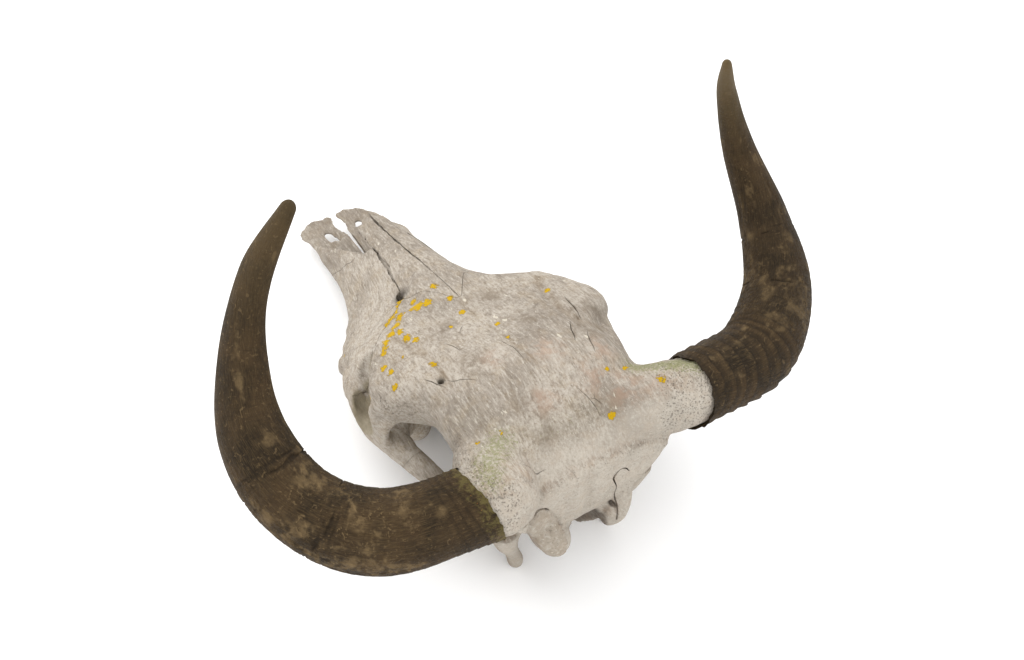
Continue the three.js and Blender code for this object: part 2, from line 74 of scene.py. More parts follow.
MM = 0.001
SIDES = ((1, "left"), (-1, "right"))
NASAL_TIP = -410.0           # Y of the front of the nasal bones
NASAL_BACK = -221.0          # Y of the point where they end in the forehead
NASAL_THICKNESS = 5.0
PALATE_Z = 29.0              # height of the palate's midline
WALL = 4.5                   # side walls of the nose
SUTURE = 0.4                 # gap between neighbouring bones
BOX_MARGIN = 0.05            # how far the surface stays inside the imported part's box
SKIN_CELL = 1.3              # mesh size of the nasal bones' upper side
ROOM_CELL = 2.0              # mesh size of the room cut out for them
TOOTH_FRONT = -330.0         # Y of the front of the first premolar
TOOTH_LENGTHS = (17, 18, 18, 24, 27, 29)
TOOTH_TOP = 34.0             # how high the crowns reach into the jaw
TOOTH_SHAPE = 3.2            # exponent of a crown's rounded square
CORE_DEPTH = 40.0            # how far a core reaches into its sheath
GRAIN_RADIUS = 30.0          # radius of the straightened horn on which its grain is laid out
FRAME_WIDTH = 1024           # width in which the camera's focal length and shifts are given

low_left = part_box("nasal_left")[0]
high_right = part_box("nasal_right")[1]
ORIGIN = np.array([(low_left[0] + high_right[0]) / 2, low_left[1] - NASAL_TIP * MM, 0.0])

# Profile curves of the forehead and braincase, each as [Y, value] pairs.
VAULT = {
    "roof": [[-240, 156], [-205, 165], [-165, 181], [-130, 195], [-95, 203], [-60, 195], [-30, 178],
             [0, 157]],
    "edge": [[-240, 50], [-230, 71], [-220, 90], [-205, 103], [-190, 113], [-175, 121], [-150, 121],
             [-122, 96], [-95, 91], [-50, 94], [0, 86]],
    "edge_z": [[-240, 142], [-205, 148], [-165, 150], [-120, 162], [-90, 171], [-50, 168], [-20, 152],
               [0, 138]],
    "lip_z": [[-240, 118], [-205, 133], [-150, 130], [-110, 144], [-80, 140], [-30, 126], [0, 126]],
    "wall": [[-240, 60], [-205, 46], [-150, 46], [-110, 56], [-60, 66], [-20, 68], [0, 58]],
    "wall_z": [[-240, 95], [-150, 92], [-60, 90], [-20, 88], [0, 98]],
    "base": [[-240, 40], [-205, 26], [-150, 26], [-100, 34], [-40, 46], [0, 40]],
    "base_z": [[-240, 58], [-150, 60], [-40, 56], [-15, 70], [0, 90]],
}

# Profile curves of the face, from the nasal opening to the orbits.
FACE = {
    "roof": [[-450, 90], [-410, 102], [-345, 121], [-288, 141], [-250, 153], [-205, 163]],
    "shoulder": [[-450, 12], [-410, 15], [-370, 20], [-330, 26], [-290, 30], [-260, 34], [-240, 41],
                 [-205, 76]],
    "drop": [[-450, 7], [-345, 10], [-288, 15], [-240, 13], [-205, 12]],
    "cheek": [[-450, 28], [-410, 34], [-356, 41], [-310, 50], [-275, 62], [-240, 84], [-205, 104]],
    "cheek_z": [[-450, 52], [-410, 70], [-356, 80], [-310, 88], [-275, 104], [-240, 120], [-205, 128]],
    "side": [[-450, 43], [-410, 47], [-386, 50], [-356, 56], [-330, 66], [-296, 90], [-268, 100],
             [-240, 106], [-205, 92]],
    "side_z": [[-450, 30], [-410, 38], [-356, 50], [-296, 44], [-268, 58], [-240, 70], [-205, 72]],
    "jaw": [[-450, 40], [-400, 41], [-356, 45], [-320, 56], [-280, 68], [-240, 72], [-205, 66]],
    "jaw_z": [[-450, 24], [-410, 32], [-380, 34], [-350, 26], [-330, 20], [-205, 20]],
    "palate": [[-450, 22], [-400, 24], [-330, 34], [-280, 42], [-205, 42]],
}

# Each horn: axis from base to tip, radius at even steps, radius of its core, lean of the rim (constant,
# tilt and bend), distance between growth rings, their height and end, where scales lie, furrow bands as
# place and half-width, shares of moss, pale tip and gloom, and rubbed spots as [x, y, z, radius].
HORN_LEFT = {
    "axis": [[91, -13, 160], [186, -37, 153], [232, -80, 168], [247, -138, 203.5],
             [230.5, -185, 255], [203, -207, 318], [165, -204, 390]],
    "girth": [35.5, 36, 37, 34.8, 31.3, 23.7, 16.9, 13, 6.2],
    "core": 31.6, "rim": [-2, -12, -6], "ring_step": 9.0, "ridged": 0.45, "ridged_to": 60,
    "scaly": [60, 215], "bands": [(142, 15), (206, 11)], "mossy": 1.0, "pale_tip": 0.5, "gloom": 0.0,
    "worn_at": [(258, -64, 179, 20), (210, -13, 166, 17), (197, -21, 184, 12), (206, -31, 188, 10),
                (170, -30, 186, 9), (140, -10, 184, 9), (245, -42, 160, 12), (230, -20, 160, 10)],
}
HORN_RIGHT = {
    "axis": [[-130, -24, 159], [-215, -39, 144], [-269, -83, 157], [-288, -139, 195],
             [-280, -181, 252], [-263, -193, 319], [-237, -174, 382]],
    "girth": [34.6, 35.4, 36, 31.5, 25, 18.5, 12.8, 8.5, 4],
    "core": 30.6, "rim": [13, -4.5, 3.5], "ring_step": 12.5, "ridged": 1.25, "ridged_to": 135,
    "scaly": [95, 205], "bands": [(156, 5), (216, 6)], "mossy": 0.3, "pale_tip": 1.3, "gloom": 0.5,
    "worn_at": [(-198, -45, 178, 6), (-144, -25, 190, 6), (-262, -126, 193, 9), (-287, -104, 200, 6),
                (-239, -91, 171, 8), (-248, -106, 165, 14)],
}
RIM_UP = np.array([-0.08, -0.7, 0.7])    # side of a horn on which its rim's lean is given

# Outer edges of the two front plates and the slit between them, as [y, x] and [x, y] points.
PLATE_LEFT = [[-498.2, 21], [-497, 30], [-494.5, 36], [-490, 41.5], [-484, 46], [-478, 48], [-472, 47.2],
              [-466, 44.4], [-458, 43.2], [-445, 43.5], [-420, 44], [-394, 46]]
PLATE_RIGHT = [[-498.2, 12], [-497, 16], [-494, 23], [-489, 30], [-483, 35], [-476, 38.5], [-466, 40.5],
               [-458, 41.5], [-445, 42.5], [-420, 44], [-394, 45]]
PALATE_SLIT = [[-0.8, -478], [1.4, -478], [2.2, -458], [1.9, -440], [1.3, -424], [0.5, -408], [-0.3, -408],
               [-0.7, -424], [-1.1, -440], [-1.4, -458]]

# Hollows as the centre, radii and turn of ellipsoids: left eye socket, foramen magnum and the pit beside
# the left end of the nape.
SOCKET = [((112, -197, 107), (66, 29, 29), (0, 8, 14)), ((105, -203, 93), (19, 27, 20), (0, 0, 14)),
          ((108, -216, 106), (16, 15, 24), (0, 0, 20))]
FORAMEN = ((0, 6, 62), (19, 42, 27), (-14, 0, 0))
NAPE_PIT = ((74, 3, 130), (15, 21, 11), (0, 27, 0))


# ---------------------------------------------------------------------------------------------
# Curves, shells and noise
# ---------------------------------------------------------------------------------------------

def profile(pairs, at):
    """Cubic through [key, value] pairs; its slope at a key is the mean of the two slopes beside it."""
    keys, values = np.array(pairs, float).T
    slopes = np.diff(values) / np.diff(keys)
    tangents = np.concatenate([slopes[:1], (slopes[1:] + slopes[:-1]) / 2, slopes[-1:]])
    at = np.clip(at, keys[0], keys[-1])
    i = np.clip(np.searchsorted(keys, at, side="right") - 1, 0, len(keys) - 2)
    span = keys[i + 1] - keys[i]
    t = (at - keys[i]) / span
    return ((2 * t**3 - 3 * t**2 + 1) * values[i] + (t**3 - 2 * t**2 + t) * span * tangents[i]
            + (3 * t**2 - 2 * t**3) * values[i + 1] + (t**3 - t**2) * span * tangents[i + 1])


def spline(points, t, closed=False):
    """Centripetal Catmull-Rom curve: t runs from 0 at the first point to 1 at the last, or round again."""
    points = np.asarray(points, float)
    if closed:
        padded = np.concatenate([points[..., -1:, :], points, points[..., :2, :]], axis=-2)
    else:
        first = 2 * points[..., :1, :] - points[..., 1:2, :]
        last = 2 * points[..., -1:, :] - points[..., -2:-1, :]
        padded = np.concatenate([first, points, last], axis=-2)
    spans = padded.shape[-2] - 3
    reach = np.clip(np.asarray(t, float) * spans, 0, spans - 1e-9)
    i = reach.astype(int)
    w = (reach - i)[:, None]
    p0, p1, p2, p3 = (padded[..., i + k, :] for k in range(4))
    d0, d1, d2 = (np.maximum(np.linalg.norm(b - a, axis=-1, keepdims=True), 1e-9) ** 0.5
                  for a, b in ((p0, p1), (p1, p2), (p2, p3)))
    leaving = ((p1 - p0) / d0 - (p2 - p0) / (d0 + d1) + (p2 - p1) / d1) * d1
    arriving = ((p2 - p1) / d1 - (p3 - p1) / (d1 + d2) + (p3 - p2) / d2) * d1
    return ((2 * w**3 - 3 * w**2 + 1) * p1 + (w**3 - 2 * w**2 + w) * leaving
            + (3 * w**2 - 2 * w**3) * p2 + (w**3 - w**2) * arriving)


def unit(vectors):
    """Vectors of length one."""
    return vectors / np.maximum(np.linalg.norm(vectors, axis=-1, keepdims=True), 1e-12)


def shell(rings):
    """Closed skin over rings (n, m, 3): two triangles for each cell and a fan over each end ring."""
    n, m, _ = rings.shape
    points = np.concatenate([rings.reshape(-1, 3), rings[:1].mean(axis=1), rings[-1:].mean(axis=1)])
    a = (np.arange(n - 1) * m)[:, None] + np.arange(m)
    b = (np.arange(n - 1) * m)[:, None] + (np.arange(m) + 1) % m
    cells = np.stack([a, b, b + m, a, b + m, a + m], axis=-1).reshape(-1, 3)
    k, following = np.arange(m), (np.arange(m) + 1) % m
    front = np.stack([following, k, np.full(m, n * m)], axis=-1)
    back = np.stack([k, following, np.full(m, 0)], axis=-1) + (n - 1) * m
    back[:, 2] = n * m + 1
    return outward(points, np.concatenate([cells, front, back]))


def outward(points, triangles):
    """Turns the triangles round if the volume they enclose comes out negative."""
    a, b, c = (points[triangles[:, k]] for k in range(3))
    volume = np.einsum("ij,ij->i", a, np.cross(b, c)).sum()
    return (points, triangles) if volume > 0 else (points, triangles[:, ::-1])


def mirrored(made):
    """The same shell on the other side of the midline."""
    points, triangles = made
    return points * [-1, 1, 1], triangles[:, ::-1]


def on_both_sides(shells):
    """Each shell of the left side, followed by its mirror image."""
    return [part for made in shells for part in (made, mirrored(made))]


def tube(path, radii, sides=32, steps=60, up=(0, 0, 1), blunt=(0.0, 0.0)):
    """Oval section carried along a smooth path. Its half-widths follow the radii, and over the blunt
    shares of the length at the two ends they close as a quarter of an ellipse."""
    t = np.linspace(0, 1, steps + 1)
    line = spline(path, t)
    run = unit(np.gradient(line, axis=0))
    across = unit(np.cross(np.array(up, float), run))
    over = np.cross(run, across)
    radii = np.array([r if isinstance(r, (list, tuple)) else [r, r] for r in radii], float)
    keys = np.linspace(0, 1, len(radii))
    size = np.stack([profile(np.stack([keys, radii[:, k]], 1), t) for k in range(2)], 1)
    for share, distance in zip(blunt, (t, 1 - t)):
        if share > 0:
            size = size * np.sqrt(np.clip(1 - (1 - np.clip(distance / share, 0.004, 1)) ** 2, 0, 1))[:, None]
    angle = np.arange(sides) * 2 * np.pi / sides
    rings = (line[:, None] + across[:, None] * (size[:, :1] * np.cos(angle))[..., None]
             + over[:, None] * (size[:, 1:] * np.sin(angle))[..., None])
    return shell(rings)


def turn_of(degrees):
    """Turns about the three axes, in degrees, as one matrix: the Z turn acts first and the X turn last."""
    a, b, c = np.radians(degrees)
    about_x = np.array([[1, 0, 0], [0, math.cos(a), -math.sin(a)], [0, math.sin(a), math.cos(a)]])
    about_y = np.array([[math.cos(b), 0, math.sin(b)], [0, 1, 0], [-math.sin(b), 0, math.cos(b)]])
    about_z = np.array([[math.cos(c), -math.sin(c), 0], [math.sin(c), math.cos(c), 0], [0, 0, 1]])
    return about_x @ about_y @ about_z


def ellipsoid(centre, radii, turn=(0, 0, 0), sides=48):
    """Ball of latitude rings stretched to three radii, then turned as turn_of says."""
    latitude = np.linspace(0.02, np.pi - 0.02, sides // 2)[:, None]
    longitude = np.arange(sides) * 2 * np.pi / sides
    ball = np.stack([np.sin(latitude) * np.cos(longitude), np.cos(latitude) + 0 * longitude,
                     np.sin(latitude) * np.sin(longitude)], axis=-1) * radii
    return shell(ball @ turn_of(turn).T + np.array(centre, float))


def lattice_noise(points, size, seed):
    """Smooth noise from -1 to 1: random values at lattice points, blended by a smooth step per axis."""
    q = np.asarray(points) / size + seed * 7.31
    cell = np.floor(q).astype(np.int64)
    f = q - cell
    f = f * f * (3 - 2 * f)
    total = np.zeros(len(q))
    for corner in range(8):
        offset = np.array([corner & 1, corner >> 1 & 1, corner >> 2 & 1])
        key = ((cell + offset) * [73856093, 19349663, 83492791]).sum(axis=1) + seed * 2654435761
        key = (key ^ (key >> 13)) * 1274126177 & 0xFFFFFFFF
        value = ((key ^ (key >> 16)) & 0xFFFF) / 32767.5 - 1
        weight = np.where(offset, f, 1 - f).prod(axis=1)
        total += value * weight
    return total


def clouds(points, size, seed, octaves=3):
    """Noise plus finer noise: each octave has half the size and half the height of the one before."""
    return sum(lattice_noise(points, size / 2**k, seed + k) / 2**k for k in range(octaves)) / 1.6


def bump(distance, width):
    """A rounded hill: 1 at the centre, falling to 0 at the width as a cosine does."""
    return 0.5 + 0.5 * np.cos(np.pi * np.clip(distance / width, 0, 1))


def along(points, path, width):
    """How near each point is to a smooth path: 1 on it, falling to 0 at the width, as a rounded ridge.
    Path and points may have two columns or three."""
    path = np.asarray(path, float)
    line = path if len(path) == 1 else spline(path, np.linspace(0, 1, 12 * len(path)))
    near = np.all((points > line.min(axis=0) - width) & (points < line.max(axis=0) + width), axis=1)
    result = np.zeros(len(points))
    apart = np.sqrt(((points[near, None] - line[None]) ** 2).sum(axis=2)).min(axis=1) if near.any() else 0
    result[near] = bump(apart, width)
    return result


def spots(points, places):
    """The strongest of many round spots at each point; places hold centre coordinates and a radius."""
    strongest = np.zeros(len(points))
    for *centre, radius in places:
        strongest = np.maximum(strongest, along(points, [centre], radius))
    return strongest


def rise(values, low, high):
    """Smooth step from 0 at low to 1 at high."""
    t = np.clip((values - low) / (high - low), 0, 1)
    return t * t * (3 - 2 * t)


# ---------------------------------------------------------------------------------------------
# Meshes and booleans
# ---------------------------------------------------------------------------------------------

def place(points):
    """Millimetres in the skull's space to metres in the frame."""
    return np.asarray(points) * MM + ORIGIN


def lengths_of(obj):
    """The mesh's points, in millimetres in the skull's space."""
    flat = np.empty(len(obj.data.vertices) * 3, np.float32)
    obj.data.vertices.foreach_get("co", flat)
    return (flat.reshape(-1, 3).astype(float) - ORIGIN) / MM


def set_points(obj, points):
    """Puts changed points back into the mesh."""
    obj.data.vertices.foreach_set("co", place(points).astype(np.float32).ravel())
    obj.data.update()


def normals_of(obj):
    """The mesh's vertex normals."""
    flat = np.empty(len(obj.data.vertices) * 3, np.float32)
    obj.data.vertex_normals.foreach_get("vector", flat)
    return flat.reshape(-1, 3).astype(float)


def new_object(name, made):
    """A mesh object from points and triangles."""
    points, triangles = made
    mesh = bpy.data.meshes.new(name)
    mesh.vertices.add(len(points))
    mesh.vertices.foreach_set("co", place(points).astype(np.float32).ravel())
    mesh.loops.add(triangles.size)
    mesh.loops.foreach_set("vertex_index", triangles.astype(np.int32).ravel())
    mesh.polygons.add(len(triangles))
    mesh.polygons.foreach_set("loop_start", np.arange(0, triangles.size, 3, dtype=np.int32))
    mesh.update(calc_edges=True)
    mesh.validate()
    obj = bpy.data.objects.new(name, mesh)
    bpy.context.scene.collection.objects.link(obj)
    return obj


def settle(obj):
    """Replaces an object's mesh by what its modifiers make of it."""
    bpy.context.view_layer.update()
    evaluated = obj.evaluated_get(bpy.context.evaluated_depsgraph_get())
    mesh = bpy.data.meshes.new_from_object(evaluated)
    obj.modifiers.clear()
    obj.data = mesh
    return obj


def remove(objects):
    """Deletes helper objects."""
    for obj in objects:
        bpy.data.objects.remove(obj, do_unlink=True)


def carved(obj, steps):
    """Applies booleans in order: each step is an operation and the shells that it takes."""
    helpers = []
    for operation, shells in steps:
        for made in shells:
            helper = made if isinstance(made, bpy.types.Object) else new_object("helper", made)
            helpers.append(helper)
            modifier = obj.modifiers.new("boolean", "BOOLEAN")
            modifier.operation = operation
            modifier.solver = "MANIFOLD"
            modifier.object = helper
    settle(obj)
    remove(helpers)
    return obj


def copy_of(obj, name):
    """A separate object with its own copy of the mesh."""
    twin = obj.copy()
    twin.data = obj.data.copy()
    twin.name = name
    bpy.context.scene.collection.objects.link(twin)
    return twin


def remeshed(obj, cell):
    """Voxel remesh to even cells, in millimetres, then a light smoothing of the steps."""
    remesh = obj.modifiers.new("remesh", "REMESH")
    remesh.mode = "VOXEL"
    remesh.voxel_size = cell * MM
    smooth = obj.modifiers.new("smooth", "SMOOTH")
    smooth.factor = 0.5
    smooth.iterations = 6
    return settle(obj)


def block(outline, low, high, axis="z"):
    """Straight block over an outline, between two heights along Z, or between two planes of X."""
    outline = np.array(outline, float)
    m = len(outline)
    levels = np.repeat([low, high], m)
    double = np.concatenate([outline, outline])
    points = np.column_stack([double, levels] if axis == "z" else [levels, double])
    mesh = bpy.data.meshes.new("block")
    k = np.arange(m)
    following = (k + 1) % m
    sides = np.stack([k, following, following + m, k + m], axis=1).tolist()
    mesh.from_pydata(place(points).tolist(), [], [*sides, k[::-1].tolist(), (k + m).tolist()])
    a, b = outline, np.roll(outline, -1, axis=0)
    if (a[:, 0] * b[:, 1] - a[:, 1] * b[:, 0]).sum() < 0:
        mesh.flip_normals()
    obj = bpy.data.objects.new("block", mesh)
    bpy.context.scene.collection.objects.link(obj)
    return obj


def beside(outline, distance):
    """The outline moved outwards by a distance, each point along the mean normal of its two sides."""
    run = unit(np.roll(outline, -3, axis=0) - np.roll(outline, 3, axis=0))
    a, b = outline, np.roll(outline, -1, axis=0)
    turn = np.sign((a[:, 0] * b[:, 1] - a[:, 1] * b[:, 0]).sum())
    return outline + np.stack([run[:, 1], -run[:, 0]], axis=1) * distance * turn


def triangles_of(obj):
    """The mesh's triangles as rows of three point numbers."""
    obj.data.calc_loop_triangles()
    flat = np.empty(len(obj.data.loop_triangles) * 3, np.int32)
    obj.data.loop_triangles.foreach_get("vertices", flat)
    return flat.reshape(-1, 3)


def largest_part(points, triangles):
    """The largest connected part: every point takes the lowest number among its neighbours, again and
    again, until each part carries one number."""
    label = np.arange(len(points))
    pairs = np.concatenate([triangles[:, [0, 1]], triangles[:, [1, 2]], triangles[:, [2, 0]]])
    while True:
        low = np.minimum(label[pairs[:, 0]], label[pairs[:, 1]])
        following = label.copy()
        np.minimum.at(following, pairs[:, 0], low)
        np.minimum.at(following, pairs[:, 1], low)
        following = following[following]
        if np.array_equal(following, label):
            break
        label = following
    kept = label[triangles[:, 0]] == np.bincount(label[triangles[:, 0]]).argmax()
    used, numbers = np.unique(triangles[kept], return_inverse=True)
    return points[used], numbers.reshape(-1, 3)


def finished(name, made, material, nodes, crease=40.0):
    """A visible piece from points and triangles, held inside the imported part's box: smooth, with its edges
    kept sharp past an angle."""
    points, triangles = made
    low, high = (np.array(cad_box) - ORIGIN) / MM
    obj = new_object(name, (np.clip(points, low + BOX_MARGIN, high - BOX_MARGIN), triangles))
    mesh = obj.data
    mesh.polygons.foreach_set("use_smooth", np.ones(len(mesh.polygons), bool))
    mesh.set_sharp_from_angle(angle=math.radians(crease))
    mesh.materials.append(material)
    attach(obj, "root")
    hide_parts(*nodes)
    return obj


def mark(obj, name, values):
    """Stores one number for each point of the mesh, for its material to read."""
    layer = obj.data.attributes.new(name, "FLOAT", "POINT")
    layer.data.foreach_set("value", np.asarray(values, np.float32))


def wavy(outline, height, length, seed):
    """An outline resampled every millimetre or two and pushed sideways by noise, as sutures wander."""
    outline = np.array(outline, float)
    ends = np.roll(outline, -1, axis=0)
    pieces = []
    for start, end in zip(outline, ends):
        count = max(1, int(np.linalg.norm(end - start) / 1.6))
        t = (np.arange(count) / count)[:, None]
        pieces.append(start + (end - start) * t)
    fine = np.concatenate(pieces)
    at = np.column_stack([fine, np.zeros(len(fine))])
    shift = np.column_stack([clouds(at, length, seed, 2), clouds(at, length, seed + 9, 2)])
    return fine + shift * height


# ---------------------------------------------------------------------------------------------
# Forms of the skull
# ---------------------------------------------------------------------------------------------

def section(columns, y, per_span=10):
    """Rings from a half outline: columns hold x and z at every y, from the top midline to the bottom."""
    half = np.stack([np.stack(np.broadcast_arrays(x, z), axis=-1) for x, z in columns], axis=1)
    other = half[:, 1:-1][:, ::-1] * [-1, 1]
    ring = np.concatenate([half, other], axis=1)
    count = ring.shape[1] * per_span
    curve = spline(ring, np.arange(count) / count, closed=True)
    return np.concatenate([curve[..., :1], np.broadcast_to(y[:, None, None], curve[..., :1].shape),
                           curve[..., 1:]], axis=-1)


def vault_form():
    """Forehead and braincase: sections from the profile curves, closed behind by a rounded nape."""
    y = np.linspace(-240, 0, 110)
    at = {name: profile(pairs, y) for name, pairs in VAULT.items()}
    crown = at["roof"] - at["edge_z"]
    rings = section([
        (0 * y, at["roof"]), (at["edge"] * 0.45, at["roof"] - crown * 0.12),
        (at["edge"] * 0.86, at["roof"] - crown * 0.55), (at["edge"], at["edge_z"] - 3),
        (at["edge"] - 4, at["lip_z"]), (at["wall"], at["wall_z"]), (at["base"], at["base_z"]),
        (0 * y, at["base_z"] - 4),
    ], y)
    angle = np.linspace(0, np.pi / 2, 12)[1:-1, None, None]
    nape = np.array([0, 0, 120.0])
    rounding = nape + (rings[-1:] - nape) * np.cos(angle) ** 0.35 + np.array([0, 6.0, 0]) * np.sin(angle)
    return shell(np.concatenate([rings, rounding]))


def face_form(drop=0.0):
    """Nose, cheeks and palate as one closed form."""
    y = np.linspace(-450, -205, 110)
    at = {name: profile(pairs, y) for name, pairs in FACE.items()}
    rings = section([
        (0 * y, at["roof"]), (at["shoulder"] * 0.6, at["roof"] - 1),
        (at["shoulder"], at["roof"] - at["drop"]), (at["cheek"], at["cheek_z"]),
        (at["side"], at["side_z"]), (at["jaw"], at["jaw_z"]),
        (at["palate"], np.minimum(at["jaw_z"], PALATE_Z)), (0 * y, PALATE_Z + 2 + 0 * y),
    ], y)
    return shell(rings - [0, 0, drop])


def nose_hollow():
    """The hollow of the nose, inside its side walls and over the palate."""
    y = np.linspace(-454, -290, 40)
    at = {name: profile(pairs, y) for name, pairs in FACE.items()}
    floor = PALATE_Z + WALL
    rings = section([
        (0 * y, at["roof"] - 2), (at["shoulder"] * 0.4, at["roof"] - 3),
        (at["shoulder"] - 7, at["roof"] - at["drop"]), (at["cheek"] - WALL, at["cheek_z"]),
        (at["side"] - 1.3 * WALL, np.maximum(at["side_z"], floor + 3)), (at["palate"], floor + 0 * y),
        (0 * y, floor + 0 * y),
    ], y, 4)
    return shell(rings)


def arch_forms():
    """Zygomatic arch of the left side, the bar behind the orbit, and the cheek's lumps."""
    return [
        tube([[82, -280, 48], [97, -256, 58], [109, -232, 69], [117, -205, 76], [118, -178, 79],
              [113, -150, 81], [105, -122, 82], [97, -95, 83], [85, -68, 82], [66, -50, 84]],
             [[12, 14], [11, 13], [9, 11], [8, 9], [9, 9], [8, 9], [8, 8], [9, 7], [13, 8], [16, 14]]),
        tube([[108, -152, 138], [116, -158, 120], [118, -162, 102], [114, -158, 80]],
             [[13, 9], [12, 6], [13, 6], [15, 8]], up=(1, 0, 0)),
        tube([[117, -162, 140], [121, -166, 120], [120, -168, 98], [116, -164, 82]],
             [[8, 7], [9, 6], [9, 6], [11, 7]], up=(1, 0, 0)),
        ellipsoid([104, -148, 88], [9, 18, 8], [0, 0, 16]),
        ellipsoid([86, -285, 38], [13, 16, 10], [0, 0, -20]),
        ellipsoid([92, -208, 62], [28, 44, 14]),
        ellipsoid([66, -194, 62], [22, 27, 18]),
        ellipsoid([70, -186, 54], [17, 20, 24]),
        tube([[108, -160, 86], [104, -140, 88], [98, -118, 86], [92, -96, 84]],
             [[6, 7], [8, 8], [8, 7], [7, 6]]),
    ]


def occiput_forms():
    """Left paracondylar process, nuchal crest, mastoid, bulla, ear tube and pterygoid."""
    return [
        tube([[72, -18, 92], [67, -22, 62], [58, -25, 34], [52, -27, 12], [50, -27, 0]],
             [[15, 15], [12, 11], [7.5, 7.5], [8.5, 8], [7, 7]], up=(1, 0, 0), blunt=(0, 0.1)),
        tube([[40, -2, 146], [66, -3, 141], [86, -5, 134], [91, -8, 130]],
             [[5, 10], [5, 9], [4, 7], [3, 4]], blunt=(0, 0.1)),
        ellipsoid([70, -30, 84], [15, 18, 22]),
        ellipsoid([50, -58, 46], [11, 17, 15]),
        tube([[58, -60, 72], [76, -56, 78], [86, -54, 80]], [10, 8, 7]),
        tube([[24, -222, 40], [22, -190, 42], [20, -150, 52], [20, -135, 60]],
             [[4, 12], [4, 16], [4, 12], [4, 6]], blunt=(0, 0.15)),
    ]


def beyond_base(horn, distance):
    """A point on a horn's axis, a distance beyond its base."""
    base, following = np.array(horn["axis"][0], float), np.array(horn["axis"][1], float)
    return base + unit(following - base) * distance


def core_form(horn, side):
    """Bony core of a horn, from a broad root in the forehead to its hidden end."""
    path = [[side * 18, -70, 146], [side * 50, -56, 153], [side * 74, -38, 157],
            *(beyond_base(horn, distance) for distance in (-8, 8, 24, CORE_DEPTH - 1))]
    thick = horn["core"]
    radii = [[46, 36], [41, 34], [35, 32.5], *([thick + more] * 2 for more in (0.8, 0, -0.4, -4))]
    return tube(path, radii, sides=64, steps=72)


def premaxilla_forms():
    """Left premaxilla: flat paddle, rising nasal process and palatine process."""
    return [
        tube([[33, -482, 22], [36, -466, 24.5], [36, -452, 26.5], [37, -440, 28], [40, -420, 31],
              [43, -396, 38]],
             [[4, 2], [7, 3.4], [6.5, 4], [6, 4.5], [5, 5], [4, 7]], blunt=(0.1, 0)),
        tube([[41, -440, 30], [44, -418, 42], [42, -398, 56], [38, -376, 70]],
             [[3, 9], [2.6, 11], [2.2, 10], [2, 5]]),
        tube([[9, -470, 22], [6.5, -455, 25], [5.5, -440, 27], [5.2, -415, 30], [5, -395, 31]],
             [[3.6, 2], [4.6, 2.6], [4.6, 3], [4.4, 3], [3, 2.5]], blunt=(0.1, 0)),
    ]


def premaxilla_plate(outer_edge):
    """Thin dished plate of a premaxilla: for each Y it spans an inner and an outer edge curve, with an
    oval section whose middle hangs lower than its rims."""
    y = -498.2 + 104.2 * np.linspace(0, 1, 90) ** 1.8
    outer = profile(outer_edge, y)
    inner = profile([[-498.2, 9], [-497, 5], [-494.5, 1.6], [-492, 0.5], [-490, 0.9], [-486, 3.6], [-477, 5],
                     [-469, 3.8], [-462, 1.3], [-427, 1.1], [-394, 0.5]], y)
    height = profile([[-498.2, 19], [-480, 21], [-460, 24], [-430, 27.5], [-394, 32]], y)
    angle = (np.arange(72) * 2 * np.pi / 72)[None]
    middle, half = (outer + inner)[:, None] / 2, (outer - inner)[:, None] / 2
    dish = 2.6 * np.cos(angle) ** 2 + 1.2 * np.cos(angle) - 1.0
    thick = profile([[-498.2, 0.9], [-485, 1.8], [-450, 2.2], [-394, 2.6]], y)[:, None]
    x = middle + half * np.cos(angle)
    z = height[:, None] + dish + thick * np.sign(np.sin(angle)) * np.abs(np.sin(angle)) ** 0.6
    return shell(np.stack([x, np.broadcast_to(y[:, None], x.shape), z], axis=-1))


def jagged(made, height, size, seed):
    """A shell with every point pushed about by noise, for ragged holes and broken edges."""
    points, triangles = made
    push = np.stack([clouds(points, size, seed + k, 2) for k in range(3)], axis=1)
    return points + push * height, triangles


